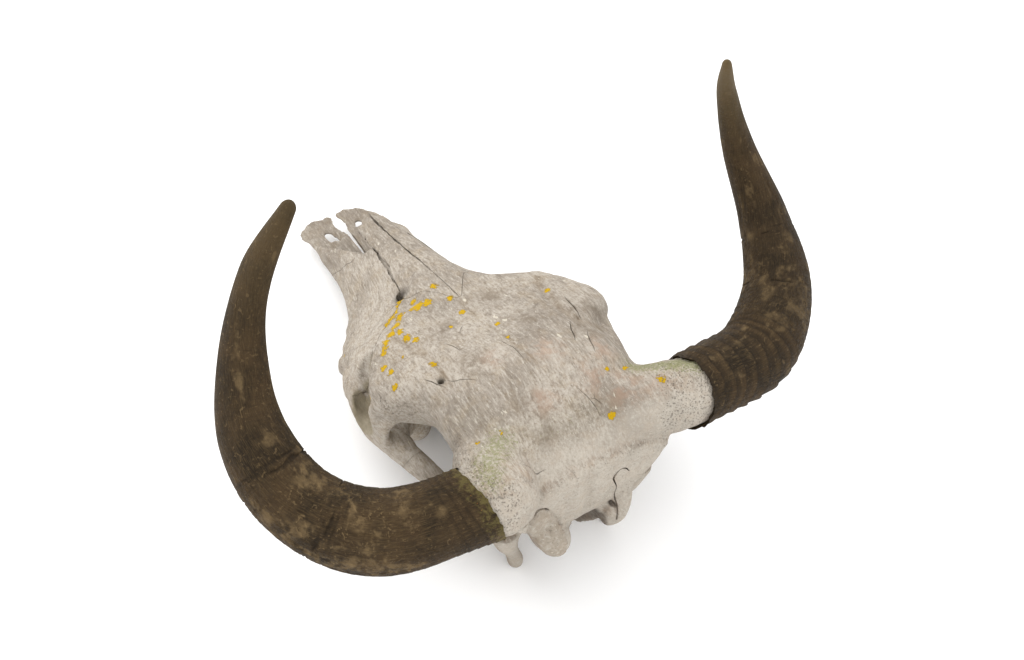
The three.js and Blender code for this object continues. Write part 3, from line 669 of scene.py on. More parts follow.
def skull_blank(cell):
    """All bone but the nasal bones' own plate, hollowed and opened, on even cells."""
    left = [*arch_forms(), *occiput_forms()]
    orbits = [*(ellipsoid(*hollow) for hollow in SOCKET),
              tube([[96, -219, 152], [101, -217, 138], [104, -212, 118]], [[3.4, 6], [4, 6], [7, 9]]),
              tube([[97, -224, 132], [97, -232, 117], [100, -232, 105], [104, -227, 94], [110, -219, 87],
                    [116, -200, 87]], [[6, 7], [7, 7], [8, 8], [8.5, 8.5], [8, 8], [6, 6]]),
              ellipsoid([99, -218, 147], [8, 5, 9])]
    condyles = [ellipsoid([36, 0, 82], [17, 17, 30], [15, 24, 0]),
                ellipsoid([-34, 1, 83], [14, 15.5, 28], [15, -24, 0])]
    ear = tube([[96, -53, 81], [66, -57, 76]], [4, 4])
    infraorbital = tube([[72, -342, 46], [50, -322, 50]], [[3, 5], [2.5, 4]])
    beside_nape = [ellipsoid(*NAPE_PIT), ellipsoid([-88, -8, 122], [14, 18, 7], [0, -50, 0])]
    palatine_fissure = tube([[19.5, -474, 24], [18.5, -465, 25], [16.5, -455, 26], [13, -442, 27]],
                            [[2.6, 14], [4.4, 14], [3.6, 14], [0.6, 14]], blunt=(0.18, 0.1))
    blank = new_object("skull_blank", vault_form())
    carved(blank, [
        ("UNION", [face_form()]),
        ("DIFFERENCE", [block([[-480, 33], [-455, 33], [-434, 46], [-415, 62], [-394, 77], [-380, 86],
                               [-366, 95], [-360, 108], [-400, 170], [-480, 170]], -90, 90, "x")]),
        ("UNION", [*left, *map(mirrored, left), *condyles, ellipsoid([0, -16, 76], [46, 20, 34]),
                   tube([[-108, -146, 148], [-98, -120, 157], [-91, -94, 165], [-88, -66, 164]],
                        [[7, 6], [8, 7], [7, 7], [5, 5]])]),
        ("DIFFERENCE", [
            nose_hollow(), ellipsoid(*FORAMEN),
            tube([[0, -256, 46], [0, -200, 46], [0, -160, 47], [0, -130, 50]],
                 [[17, 12], [17, 13], [16, 12], [12, 4]]),
            block([[-17, -213], [17, -213], [20, -150], [-20, -150]], 10, 46),
            *on_both_sides([*orbits, ear, infraorbital]),
            horn_body(HORN_LEFT), horn_body(HORN_RIGHT),
            jagged(tube([[35, -273, 166], [34, -273, 116]], [[7.5, 4.5], [6, 4]], sides=48, up=(1, 0, 0)),
                   2.6, 5, 31),
            block([[-300, -600], [300, -600], [300, 100], [-300, 100]], -30, 0),
        ]),
        ("UNION", [core_form(HORN_LEFT, 1), core_form(HORN_RIGHT, -1)]),
        ("UNION", [premaxilla_plate(PLATE_LEFT), mirrored(premaxilla_plate(PLATE_RIGHT)),
                   *on_both_sides(premaxilla_forms())]),
        ("DIFFERENCE", [palatine_fissure, mirrored(palatine_fissure), *beside_nape]),
    ])
    return remeshed(blank, cell)


def horn_frame(horn, rings):
    """Centres, directions and radii at equal lengths along a horn's axis."""
    fine = np.linspace(0, 1, 4001)
    line = spline(horn["axis"], fine)
    length = np.concatenate([[0], np.cumsum(np.linalg.norm(np.diff(line, axis=0), axis=1))])
    at = np.linspace(0, length[-1], rings)
    centre = np.stack([np.interp(at, length, line[:, k]) for k in range(3)], axis=1)
    run = unit(np.gradient(centre, axis=0))
    across = unit(np.cross([0.0, 0.0, 1.0], run))
    over = np.cross(run, across)
    share = np.linspace(0, 1, rings)
    radius = profile(np.stack([np.linspace(0, 1, len(horn["girth"])), horn["girth"]], 1), share)
    return at, centre, run, across, over, radius


def horn_body(horn):
    """The plain outer shape of a horn, from its base to its tip."""
    _, centre, _, across, over, radius = horn_frame(horn, 60)
    angle = (np.arange(48) * 2 * np.pi / 48)[None, :, None]
    spoke = across[:, None] * np.cos(angle) + over[:, None] * np.sin(angle)
    return shell(centre[:, None] + (radius[:, None, None] + 0.4) * spoke)


def horn_sheath(horn, seed):
    """Sheath on a grid of length and angle. The radius follows the girth, with fine lengthwise ribs,
    sawtooth growth rings that fade away from the base, and thin scales whose edges are steps in a slow
    noise. The base is closed by a rim and a short socket for the core."""
    count, sides = 400, 176
    at, centre, run, across, over, radius = horn_frame(horn, count)
    angle = np.arange(sides) * 2 * np.pi / sides
    s, a = np.meshgrid(at, angle, indexing="ij")
    circle, length = np.stack([np.cos(a).ravel(), np.sin(a).ravel()], axis=1), s.ravel()

    def field(across_size, along_size, key, octaves=3):
        """Noise on the sheath whose clouds have one size round the horn and another along it."""
        at_points = np.column_stack([circle * GRAIN_RADIUS / across_size, length / along_size])
        return clouds(at_points, 1.0, seed + key, octaves)

    ribs = field(2.2, 60, 1, 2) * 0.30 + field(5.5, 90, 3, 2) * 0.45
    body = field(34, 46, 5, 2) * 0.9
    ringed = 1 - rise(length, horn["ridged_to"] * 0.55, horn["ridged_to"])
    phase = length / horn["ring_step"] + 0.45 * field(26, 30, 7, 2) + 0.05 * field(5, 20, 9, 2)
    saw = phase - np.floor(phase)
    rings = (saw ** 1.6 - 0.45) * horn["ridged"] * 1.6 * ringed
    furrow = np.exp(-(np.minimum(saw, 1 - saw) / 0.1) ** 2) * ringed * min(1, horn["ridged"])
    wander = length + 7 * field(40, 60, 33, 2)
    for middle, half in horn["bands"]:
        cross = rise(field(13, 2.6, 35, 3), 0.05, 0.4) * bump(np.abs(wander - middle), half)
        furrow = np.maximum(furrow, cross)
        rings = rings - 1.5 * cross
    low, high = horn["scaly"]
    scaly = rise(length, low - 18, low + 12) * (1 - rise(length, high - 14, high + 25))
    layers = field(9, 16, 11, 3) * 2.6 + field(2.6, 34, 13, 2) * 0.5 + length / 17
    shed = layers - np.floor(layers)
    scales = (rise(shed, 0.0, 0.16) - 0.6 * shed) * 0.95 * scaly
    split = np.clip(0.09 - np.abs(field(6, 120, 17, 2)), 0, 1) / 0.09
    splits = -0.9 * split * rise(field(14, 60, 19, 2), 0.1, 0.4) * rise(length, 30, 80)
    taper = np.clip(np.repeat(radius, sides) / 34, 0.28, 1)
    tip = np.sqrt(np.clip(1 - (1 - np.clip((at[-1] - length) / 7, 0.02, 1)) ** 2, 0, 1))
    size = (np.repeat(radius, sides) * 0.985 - 0.25 + (ribs + body + rings + scales + splits) * taper) * tip
    ragged = field(5, 400, 23, 3)[:sides] * 3.2 + 1.8
    spokes = (across[:, None] * np.cos(angle)[None, :, None] + over[:, None] * np.sin(angle)[None, :, None])
    lean = spokes[0] @ unit(RIM_UP - run[0] * (RIM_UP @ run[0]))
    constant, tilt, bend = horn["rim"]
    back = (np.clip(1 - at / 26, 0, 1)[:, None] * np.clip(ragged, 0, 7)
            - np.clip(1 - at / 70, 0, 1)[:, None] * (constant + tilt * lean + bend * lean**2))
    shape = centre[:, None] + run[:, None] * back[..., None] + size.reshape(count, sides)[..., None] * spokes
    inner = centre[0] + spokes[0] * (horn["core"] + 0.7)
    share = np.linspace(0, 1, 9)[:, None]
    depths = (CORE_DEPTH + 1) * (1 - share) + (back[0] + 3) * share
    socket = inner[None] + run[0] * depths[..., None]
    rim = (shape[0] + socket[-1]) * 0.5
    made = shell(np.concatenate([socket, rim[None], shape]))
    extra = len(socket) + 1

    def pad(values, fill):
        """Values for the whole skin: the fill on socket and rim, and each end's own at its fan's middle."""
        return np.concatenate([np.full(extra * sides, fill), values, [fill, values[-1]]])

    worn = rise(field(11, 26, 29, 3) + 0.25 * scaly, 0.28, 0.62) * 0.7
    worn = np.maximum(worn, spots(shape.reshape(-1, 3), horn["worn_at"]))
    gloom = horn["gloom"] * rise(length, 70, 110) * (1 - rise(length, 230, 290))
    marks = {
        "worn": pad(worn, 0.0),
        "scaly": pad(scaly * (0.4 + 0.6 * (1 - shed)), 0.0),
        "ridge": pad(np.clip(rings / 1.2 + 0.5, 0, 1) * ringed + 0.5 * (1 - ringed), 0.5),
        "furrow": pad(np.clip(furrow, 0, 1), 0.0),
        "gloom": pad(gloom, 0.0),
        "base_moss": pad(horn["mossy"] * np.clip(1 - length / 34, 0, 1), 0.5),
        "toward_tip": pad(horn["pale_tip"] * rise(length / at[-1], 0.66, 1.0), 0.0),
    }
    grain = np.column_stack([circle * GRAIN_RADIUS, length])
    grain = np.concatenate([np.tile(grain[:sides], (extra, 1)), grain, grain[:1], grain[-1:]])
    return made, marks, grain


def tooth(x, y, wide, long, molar):
    """Crown of a cheek tooth: a rounded block with two lobes for a molar and one for a premolar. Rings
    run down its side and then inwards over the worn face, where crescent pits lie between ridges."""
    angle = np.arange(72) * 2 * np.pi / 72
    c, s = np.cos(angle), np.sin(angle)
    oval = (np.abs(c) ** TOOTH_SHAPE + np.abs(s) ** TOOTH_SHAPE) ** (1 / TOOTH_SHAPE)
    c, s = c / oval, s / oval
    lobes = 2 if molar else 1
    outside = rise(c, 0.2, 0.8) * (0.09 * np.cos(np.pi * s * lobes * 2) - 0.02)
    inside = rise(-c, 0.2, 0.8) * (0.14 * np.abs(np.sin(np.pi * s * lobes / 2)) - 0.12)
    c = c * (1 + outside + inside)
    share = np.concatenate([np.ones(14), np.linspace(0.97, 0.03, 22)])
    level = np.concatenate([np.linspace(TOOTH_TOP, 2.0, 14), np.full(22, 0.0)])
    u, v = share[:, None] * c, share[:, None] * s
    worn_face = (share < 0.999)[:, None]
    centres = (-0.5, 0.5) if molar else (0.0,)
    pits = sum(np.exp(-((np.hypot((v - middle) * 1.1, u - out) - radius) / thin) ** 2) * rise(end - u, 0, 0.3)
               for out, radius, thin, end in ((0.42, 0.34, 0.085, 0.55), (-0.22, 0.26, 0.08, -0.1))
               for middle in centres)
    cusps = 1.4 * np.cos(np.pi * v * lobes) ** 2 * rise(np.abs(u), 0.3, 0.9)
    z = np.maximum(np.where(worn_face, 2.2 - cusps + 2.6 * pits, level[:, None]), 0.25)
    height = (level / TOOTH_TOP)[:, None]
    shape = np.stack([x + wide * u * (1 + 0.05 * height), y + long / 2 * v * 0.965, z], axis=-1)
    gum = np.concatenate([np.broadcast_to(height, u.shape).ravel(), [1.0, 0.0]])
    pit = np.concatenate([np.where(worn_face, np.clip(pits, 0, 1), 0).ravel(), [0.0, 0.0]])
    return shell(shape), gum, pit


def tooth_row(side):
    """The six cheek teeth of one side as one mesh, with how deep each point lies and its pits."""
    points, triangles, gums, pits, start, y = [], [], [], [], 0, TOOTH_FRONT
    for i, long in enumerate(TOOTH_LENGTHS):
        x = 47 + 16 * math.sin(math.pi / 2 * min(1, i / 3.6))
        wide = (8 + i if i < 3 else 12) * 1.03
        (p, t), gum, pit = tooth(x, y + long / 2, wide, long, i > 2)
        points.append(p)
        triangles.append(t + start)
        gums.append(gum)
        pits.append(pit)
        start += len(p)
        y += long
    made = np.concatenate(points), np.concatenate(triangles)
    return (made if side > 0 else mirrored(made)), np.concatenate(gums), np.concatenate(pits)


# ---------------------------------------------------------------------------------------------
# Surface of the bone
# ---------------------------------------------------------------------------------------------

def weather(obj, unevenness):
    """Moves each point along its normal by the sum of soft noise, muscle marks, grooves and pits."""
    p, n = lengths_of(obj), normals_of(obj)
    both = np.column_stack([np.abs(p[:, 0]), p[:, 1:]])
    plan, back, side = both[:, :2], both[:, [0, 2]], both[:, 1:]
    top, behind = rise(n[:, 2], 0.2, 0.6), rise(n[:, 1], 0.3, 0.7) * (p[:, 1] > -30)
    outside = rise(np.abs(n[:, 0]), 0.3, 0.7)
    thick = 1 - 0.8 * rise(-p[:, 1], 415, 445)
    lift = unevenness / MM * (clouds(p, 34, 1, 3) + 0.45 * clouds(p, 9, 5, 2)) * thick
    lift += unevenness / MM * 0.55 * clouds(p * [1, 0.35, 1], 5, 8, 2) * top
    lift -= top * (2.4 * along(plan, [[72, -203], [66, -170], [63, -146], [68, -118]], 8)
                   + 3.2 * along(plan, [[73, -129]], 5) + 2.0 * along(plan, [[67, -150], [71, -140]], 4.5))
    lift -= top * 1.6 * spots(p[:, :2], DENTS)
    lift -= top * 0.8 * along(plan, [[0, -214], [1, -150], [0, -60]], 6)
    lift -= top * 0.7 * along(p[:, :2], [[3, -218], [4, -165], [1, -137], [0, -113], [-3, -91]], 2.6)
    lift += top * 1.2 * along(plan, [[36, -262], [70, -236], [98, -214]], 7)
    lift += top * 1.4 * along(plan, [[104, -207], [118, -184], [117, -158]], 7)
    lift -= behind * (2.8 * along(back, [[0, 152], [0, 130], [0, 106]], 7)
                      + 2.2 * along(back, [[32, 128], [50, 132]], 20)
                      + 1.5 * along(back, [[24, 104], [44, 112]], 10))
    lift += behind * 1.2 * along(back, [[14, 146], [16, 124], [12, 106]], 7)
    lift += (behind * 1.5 * rise(-p[:, 0], 25.5, 28) * rise(48 + p[:, 0], 0, 16)
             * rise(p[:, 2], 62, 76) * rise(136 - p[:, 2], 0, 5))
    facet = condyle_distance(p)
    lift += behind * (2.2 * rise(1 - facet, 0, 0.09) - 1.5 * bump(np.abs(facet - 1.1), 0.1))
    crest = along(p, [[-66, -1, 143], [-54, -1, 149], [-29, 0, 156], [-9, 0, 158], [0, 0, 155], [26, 0, 155],
                      [47, 0, 150], [66, -1, 143]], 10)
    lift += crest * (1.6 + 1.2 * clouds(p, 7, 12, 2))
    lift += outside * 1.3 * along(side, [[-296, 40], [-268, 56], [-235, 68]], 7)
    y = TOOTH_FRONT
    for length in TOOTH_LENGTHS:
        lift += outside * 1.5 * along(side, [[y + length / 2, 22], [y + length / 2, 46]], length * 0.42)
        y += length
    cores = rise(np.abs(p[:, 0]), 74, 92) * (p[:, 1] > -75) * (p[:, 2] > 112)
    lift += cores * (0.9 * clouds(p * [0.45, 1, 1], 6, 15, 2) + 0.35 * clouds(p, 4, 18, 1))
    set_points(obj, p + n * lift[:, None])


def condyle_distance(points):
    """How far a point on the back of the head lies from the middle of the left condyle's joint face: 1 on
    its oval outline, which leans outwards and is seen along Y."""
    x, z = points[:, 0] - 44, points[:, 2] - 98
    return np.hypot((0.95 * x - 0.3 * z) / 13.5, (0.3 * x + 0.95 * z) / 36)


def nape_cuts():
    """Hooked groove round the right condyle's joint face, the vessel hole beside it, and the notch over the
    left joint face, let into the back of the head."""
    return [
        tube([[-43, 3, 126], [-39, 3, 133], [-33, 3, 137], [-28, 4, 134], [-26, 4, 128], [-29, 5, 114],
              [-28, 8, 98], [-27, 13, 86], [-26, 17, 76]],
             [[0.3, 3], [0.8, 5], [1.0, 5.5], [1.1, 5.5], [0.9, 5], [0.6, 5], [0.7, 5], [0.7, 5], [0.5, 4]],
             sides=12, steps=90, up=(0, 1, 0), blunt=(0.05, 0.05)),
        jagged(ellipsoid([-25, 7, 93], [2.3, 9, 3], sides=24), 1.0, 4, 77),
        jagged(tube([[58, 3, 131], [52, 3, 134.5], [46, 3, 133], [41, 4, 127]],
                    [[0.5, 4], [1.4, 6], [1.6, 6], [0.5, 4]], sides=12, steps=40, up=(0, 1, 0),
                    blunt=(0.1, 0.1)), 0.7, 4, 78),
        jagged(ellipsoid([29, 8, 93], [1.0, 7, 1.2], sides=16), 0.4, 3, 79),
        jagged(ellipsoid([73, -129, 184], [3.4, 2.6, 8], sides=24), 0.8, 3, 81),
    ]


def palate_slit():
    """Slit between the two front bones. It leans to the left on its way up."""
    slit = block(PALATE_SLIT, -1, 60)
    points = lengths_of(slit)
    points[:, 0] += 0.36 * (points[:, 2] - PALATE_Z)
    set_points(slit, points)
    return slit


def on_top(obj, plan):
    """Heights of the surface over plan points, found by rays cast down from above."""
    heights = []
    for x, y in plan:
        start = place([x, y, 320])
        hit, where, _, _ = obj.ray_cast(start, (0, 0, -1))
        heights.append(((np.array(where) - ORIGIN) / MM)[2] if hit else 0.0)
    return heights


def crack(obj, plan, width, depth, seed):
    """A thin wandering blade let into the top of the surface: an oval section, deeper than wide, along a
    path that keeps to the surface and tapers to nothing at both ends."""
    t = np.linspace(0, 1, max(8, 3 * len(plan)))
    way = spline(np.array(plan, float), t)
    flat = np.column_stack([way, 0 * t])
    way = way + np.column_stack([clouds(flat, 9, seed + k, 2) for k in range(2)]) * 1.6
    path = np.column_stack([way, on_top(obj, way)])
    taper = np.clip(np.sin(np.pi * np.clip(t, 0.02, 0.98)), 0.12, 1)
    radii = [[width / 2 * share, depth * share] for share in taper]
    return tube(path, radii, sides=10, steps=12 * len(plan), blunt=(0.03, 0.03))


def territories(side):
    """Outlines that part one side into its bones, in the order in which they are cut."""
    outlines = {
        "premaxilla": ([[-540, -10], [-400, -10], [-400, 40], [-374, 82], [-374, 110], [-540, 110]],
                       -1, 120, "x"),
        "maxilla": ([[-500, -10], [-192, -10], [-192, 50], [-236, 60], [-258, 80], [-268, 112], [-268, 220],
                     [-500, 220]], -1, 160, "x"),
        "lacrimal": ([[39, -290], [39, -266], [101, -222], [150, -222], [150, -290]], 74, 220, "z"),
        "zygomatic": ([[70, -300], [82, -262], [86, -232], [86, -126], [150, -126], [150, -300]],
                      30, 100, "z"),
    }
    for i, (name, (outline, low, high, axis)) in enumerate(outlines.items()):
        outline = np.array(outline, float)
        if axis == "z":
            outline = outline * [side, 1]
        fine = wavy(outline, 1.5, 8, 40 + i if side > 0 else 60 + i)
        wide = beside(fine, SUTURE)
        if axis == "x":
            bounds = [(SUTURE / 2, high), (low, high)]
            bounds = bounds if side > 0 else [(-b, -a) for a, b in bounds]
        else:
            bounds = [(low, high), (low - SUTURE, high + SUTURE)]
        yield name, (fine, *bounds[0], axis), (wide, *bounds[1], axis)


def nasal_outline(side, grow):
    """Plan of one nasal bone: two prongs in front, a straight inner edge and a point at the back. The
    gap beside the inner edge widens towards the front, and the outer edge stands off the cheek."""
    half = SUTURE / 2
    outline = np.array([
        [half + 0.8, -396], [3, NASAL_TIP], [8.6, NASAL_TIP + 5], [11, -396], [15.6, -403], [17.8, -380],
        [21.4, -352], [25.4, -320], [28.9, -300], [31.6, -280], [36, -264], [22, -250], [12, -236],
        [3, NASAL_BACK], [half, NASAL_BACK], [half + 0.1, -262], [half + 0.5, -300], [half + 0.7, -350]])
    if not grow:
        outline[5:11, 0] -= [0.3, 1.3, 3.2, 1.6, 0.7, 0.4] if side > 0 else [1.4, 2.2, 1.8, 0.8, 0.4, 0.2]
    fine = wavy(outline * [side, 1], 0.9, 6, 80 if side > 0 else 90)
    fine[:, 0] = side * np.maximum(side * fine[:, 0], half)
    return beside(fine, grow) if grow else fine


def upper_surface(cell):
    """Forehead and face as one skin, from which the nasal bones and their room are cut."""
    skin = new_object("upper_surface", vault_form())
    carved(skin, [("UNION", [face_form()])])
    return remeshed(skin, cell)


def lowered(obj, distance):
    """A copy of an object, shifted down."""
    twin = copy_of(obj, "lowered")
    set_points(twin, lengths_of(twin) - [0, 0, distance])
    return twin


def inside(points, hollow, reach, soft=0.1):
    """1 within an ellipsoid hollow, falling to 0 where the distance reaches a share of its radii."""
    centre, radii, turn = hollow
    return rise(reach - np.linalg.norm((points - centre) @ turn_of(turn) / radii, axis=1), 0, soft)


def paint(obj):
    """Works out from each point's place how stained, overgrown, porous or chipped it is, and where shade is
    painted into the hollows, the temporal fossa and the undersides.
    """
    p, n = lengths_of(obj), normals_of(obj)
    x, y, z = p.T
    wide = np.abs(x)
    up = rise(n[:, 2], 0.0, 0.6)
    plan = p[:, :2]
    half = np.column_stack([wide, y, z])
    # the next masks lay painted shade into hollows: faintly in the eye sockets, darker inside the nose, the
    # foramen magnum, the nape pit, the small holes and the notch over the left eye; the sockets' mask also
    # carries the olive film
    in_orbit = np.maximum.reduce([inside(half, hollow, 1.12) for hollow in SOCKET])
    in_orbit *= np.maximum(rise(1 - up, 0.1, 0.3), rise(138 - z, 0, 10))
    nose_shade = rise(nose_width(y, z) + 1.6 - wide, 0, 1.2) * rise(-288 - y, 0, 6)
    nose_shade *= rise(profile(FACE["roof"], y) - 6.5 - z, 0, 3) * rise(y, -420, -395) * rise(z, 36, 44)
    notch = along(half, [[99, -218, 154], [100, -217, 142]], 11)
    foramen_shade = inside(p, (*FORAMEN[:2], (0, 0, 0)), 1.18, 0.12)
    # painted shade under the skull's lower parts and in the temporal fossa
    below = rise(60 - z, -20, 45) * rise(wide, 18, 30)
    fossa_shade = rise(y, -172, -150) * rise(-60 - y, -6, 30) * rise(128 - z, 0, 26) * rise(104 - wide, 0, 14)
    pit = inside(p, NAPE_PIT, 1.15)
    hole = np.maximum.reduce([along(p, path, width) for path, width in (
        ([[35, -273, 142], [34, -273, 112]], 12), ([[-25, 12, 93], [-25, 2, 93]], 5),
        ([[73, -129, 187], [73, -129, 176]], 6))])
    # painted shade: the hollow mark darkens these hollows as if they lay in shadow
    mark(obj, "hollow", np.clip(np.maximum.reduce([
        in_orbit * 0.08, nose_shade * 0.6, foramen_shade * 0.5, pit * 0.35, hole, notch * (x > 0)]), 0, 1))
    mark(obj, "olive", np.clip(in_orbit + pit, 0, 1))
    seam = along(plan, [[3, -222], [4, -190], [4, -165], [1, -137], [0, -113], [-3, -91]], 2.4)
    groove = along(half[:, :2], [[76, -208], [70, -185], [67, -160], [66, -140], [72, -126], [84, -112]], 7)
    condyle = rise(1.05 - condyle_distance(p), 0, 0.1) * rise(n[:, 1], 0.1, 0.4) * rise(y, -14, 2)
    mark(obj, "seam", np.maximum(np.clip(seam + 0.6 * groove, 0, 1) * up, 0.45 * condyle))
    # painted shade: the temporal fossa and the lower parts that face away from the sky are darkened
    mark(obj, "shade", np.clip(np.maximum(fossa_shade * 0.8, below * 0.45 * (1 - up)), 0, 1))
    mark(obj, "stain", np.clip(spots(plan, STAINS) * up + 0.5 * rise(-y, 330, 480), 0, 1))
    mark(obj, "rosy", np.clip(spots(plan, ROSY) * up + 0.35 * rise(y, -40, -5), 0, 1))
    mark(obj, "creamy", spots(plan, CHIPS) * up)
    mark(obj, "lichen", spots(p, LICHEN))
    cores = rise(wide, 70, 100) * (y > -78) * (z > 108)
    rim = along(half, [[117, -157, 152], [116, -140, 150], [102, -122, 152]], 15)
    mark(obj, "porous", np.clip(np.maximum(cores, rim) + 0.62 * rise(y, -14, 0), 0, 1))
    mossy_left = along(p, [[62, -44, 188], [84, -30, 190], [92, -14, 194]], 30) * 0.8
    mossy_right = along(p, [[-84, -56, 184], [-104, -44, 188], [-128, -28, 190]], 23)
    spread = along(p, [[70, -80, 180], [40, -40, 182], [-40, -34, 180]], 26) * 0.28
    on_arch = along(p, [[112, -160, 132]], 12)
    mark(obj, "algae", np.clip(np.maximum.reduce([mossy_left, mossy_right, spread, on_arch])
                               * rise(n[:, 2], -0.5, 0.3), 0, 1))
    mark(obj, "smooth_back", behind_share(p, n))


def nose_width(y, z):
    """Half-width of the hollow of the nose at a point's length and height, and zero above and below it."""
    at = {name: profile(pairs, y) for name, pairs in FACE.items()}
    floor = PALATE_Z + WALL + 0 * y
    levels = [floor, np.maximum(at["side_z"], floor + 3), at["cheek_z"], at["roof"] - at["drop"],
              at["roof"] - 2]
    widths = [at["palate"], at["side"] - 1.3 * WALL, at["cheek"] - WALL, at["shoulder"] - 7, 0 * y]
    result = np.zeros(len(y))
    for low, high, here, above in zip(levels, levels[1:], widths, widths[1:]):
        share = (z - low) / (high - low)
        result = np.where((share >= 0) & (share <= 1), here + (above - here) * share, result)
    return result


def behind_share(points, normals):
    """How much a point belongs to the paler, smoother back of the head."""
    return rise(normals[:, 1], 0.25, 0.7) * rise(points[:, 1], -34, -14)


def bone_piece(name, obj, material):
    """Turns a cut helper into a visible bone that takes the place of its node."""
    piece = finished(name, largest_part(lengths_of(obj), triangles_of(obj)), material, [name])
    remove([obj])
    paint(piece)
    return piece


# Where the bone is dented, stained, rosy or chipped, as [x, y, radius], and where lichen grows, as
# [x, y, z, radius]. Each crack is its plan, width and depth.
DENTS = [(19, -64, 4), (17, -76, 3.5), (-14, -70, 3), (24, -88, 3), (-33, -140, 3)]
STAINS = [(38, -184, 30), (43, -126, 28), (14, -212, 24), (-72, -150, 42), (-66, -112, 30), (-95, -140, 26),
          (24, -64, 22), (22, -39, 24), (-51, -32, 30), (-20, -200, 30), (-30, -150, 28)]
ROSY = [(-18, -100, 26), (-60, -40, 30), (-40, -60, 28), (-86, -34, 24), (10, -60, 22), (-64, -84, 22),
        (26, -118, 18)]
CHIPS = [(-8, -170, 7), (-3, -146, 5), (-12, -160, 5), (4, -206, 4), (-38, -112, 3), (-60, -100, 4),
         (48, -66, 4), (-2, -214, 4), (22, -242, 4), (50, -222, 5), (14, -254, 4), (-14, -230, 4)]
LICHEN = [(38, -268, 129, 8), (42, -263, 128, 7), (33, -251, 142, 6), (34, -236, 154, 8), (28, -232, 156, 9),
          (41, -238, 151, 9), (39, -233, 154, 8), (49, -255, 130, 7), (56, -252, 129, 9), (60, -233, 147, 10),
          (50, -244, 136, 9), (62, -248, 127, 9), (66, -226, 152, 9), (75, -218, 155, 8), (68, -214, 158, 7),
          (68, -202, 162, 8), (63, -193, 166, 6), (84, -212, 155, 7), (89, -206, 157, 7), (94, -200, 158, 8),
          (102, -182, 160, 6), (100, -172, 164, 6), (83, -181, 167, 4), (68, -152, 179, 7),
          (11, -249, 154, 7),
          (8, -224, 160, 6), (10, -198, 167, 6), (30, -185, 172, 4), (-4, -160, 183, 5), (1, -135, 193, 4),
          (106, -154, 166, 6), (121, -171, 141, 5), (99, -114, 166, 4), (88, -56, 177, 5), (90, -288, 53, 4),
          (-72, -181, 168, 6), (-74, -58, 184, 6), (-92, -29, 188, 8), (-40, -27, 175, 6), (59, -52, 187, 4),
          (80, -54, 184, 4), (-104, -3, 174, 5), (-57, -62, 190, 4)]
CRACKS = [([[-62, -128], [-52, -110], [-47, -98]], 1.3, 3.0),
          ([[-79, -164], [-77, -148], [-74, -123]], 1.6, 3.0),
          ([[84, -142], [80, -134], [72, -118]], 1.2, 2.5), ([[61, -18], [48, -14], [36, -13]], 1.2, 2.5),
          ([[48, -168], [44, -158], [42, -146]], 0.9, 1.8), ([[-69, -112], [-60, -92], [-58, -80]], 1.0, 2.0),
          ([[46, -440], [48, -424], [48.5, -408]], 1.1, 2.5), ([[4, -262], [10, -252], [16, -238]], 0.9, 1.8),
          ([[-24, -366], [-26, -338], [-28, -311]], 1.4, 3.0), ([[10, -140], [6, -120], [7, -96]], 0.8, 1.6),
          ([[70, -128], [60, -117], [48, -104]], 0.9, 1.8), ([[-20, -60], [-28, -44], [-30, -30]], 0.8, 1.6)]


# ---------------------------------------------------------------------------------------------
# Materials
# ---------------------------------------------------------------------------------------------

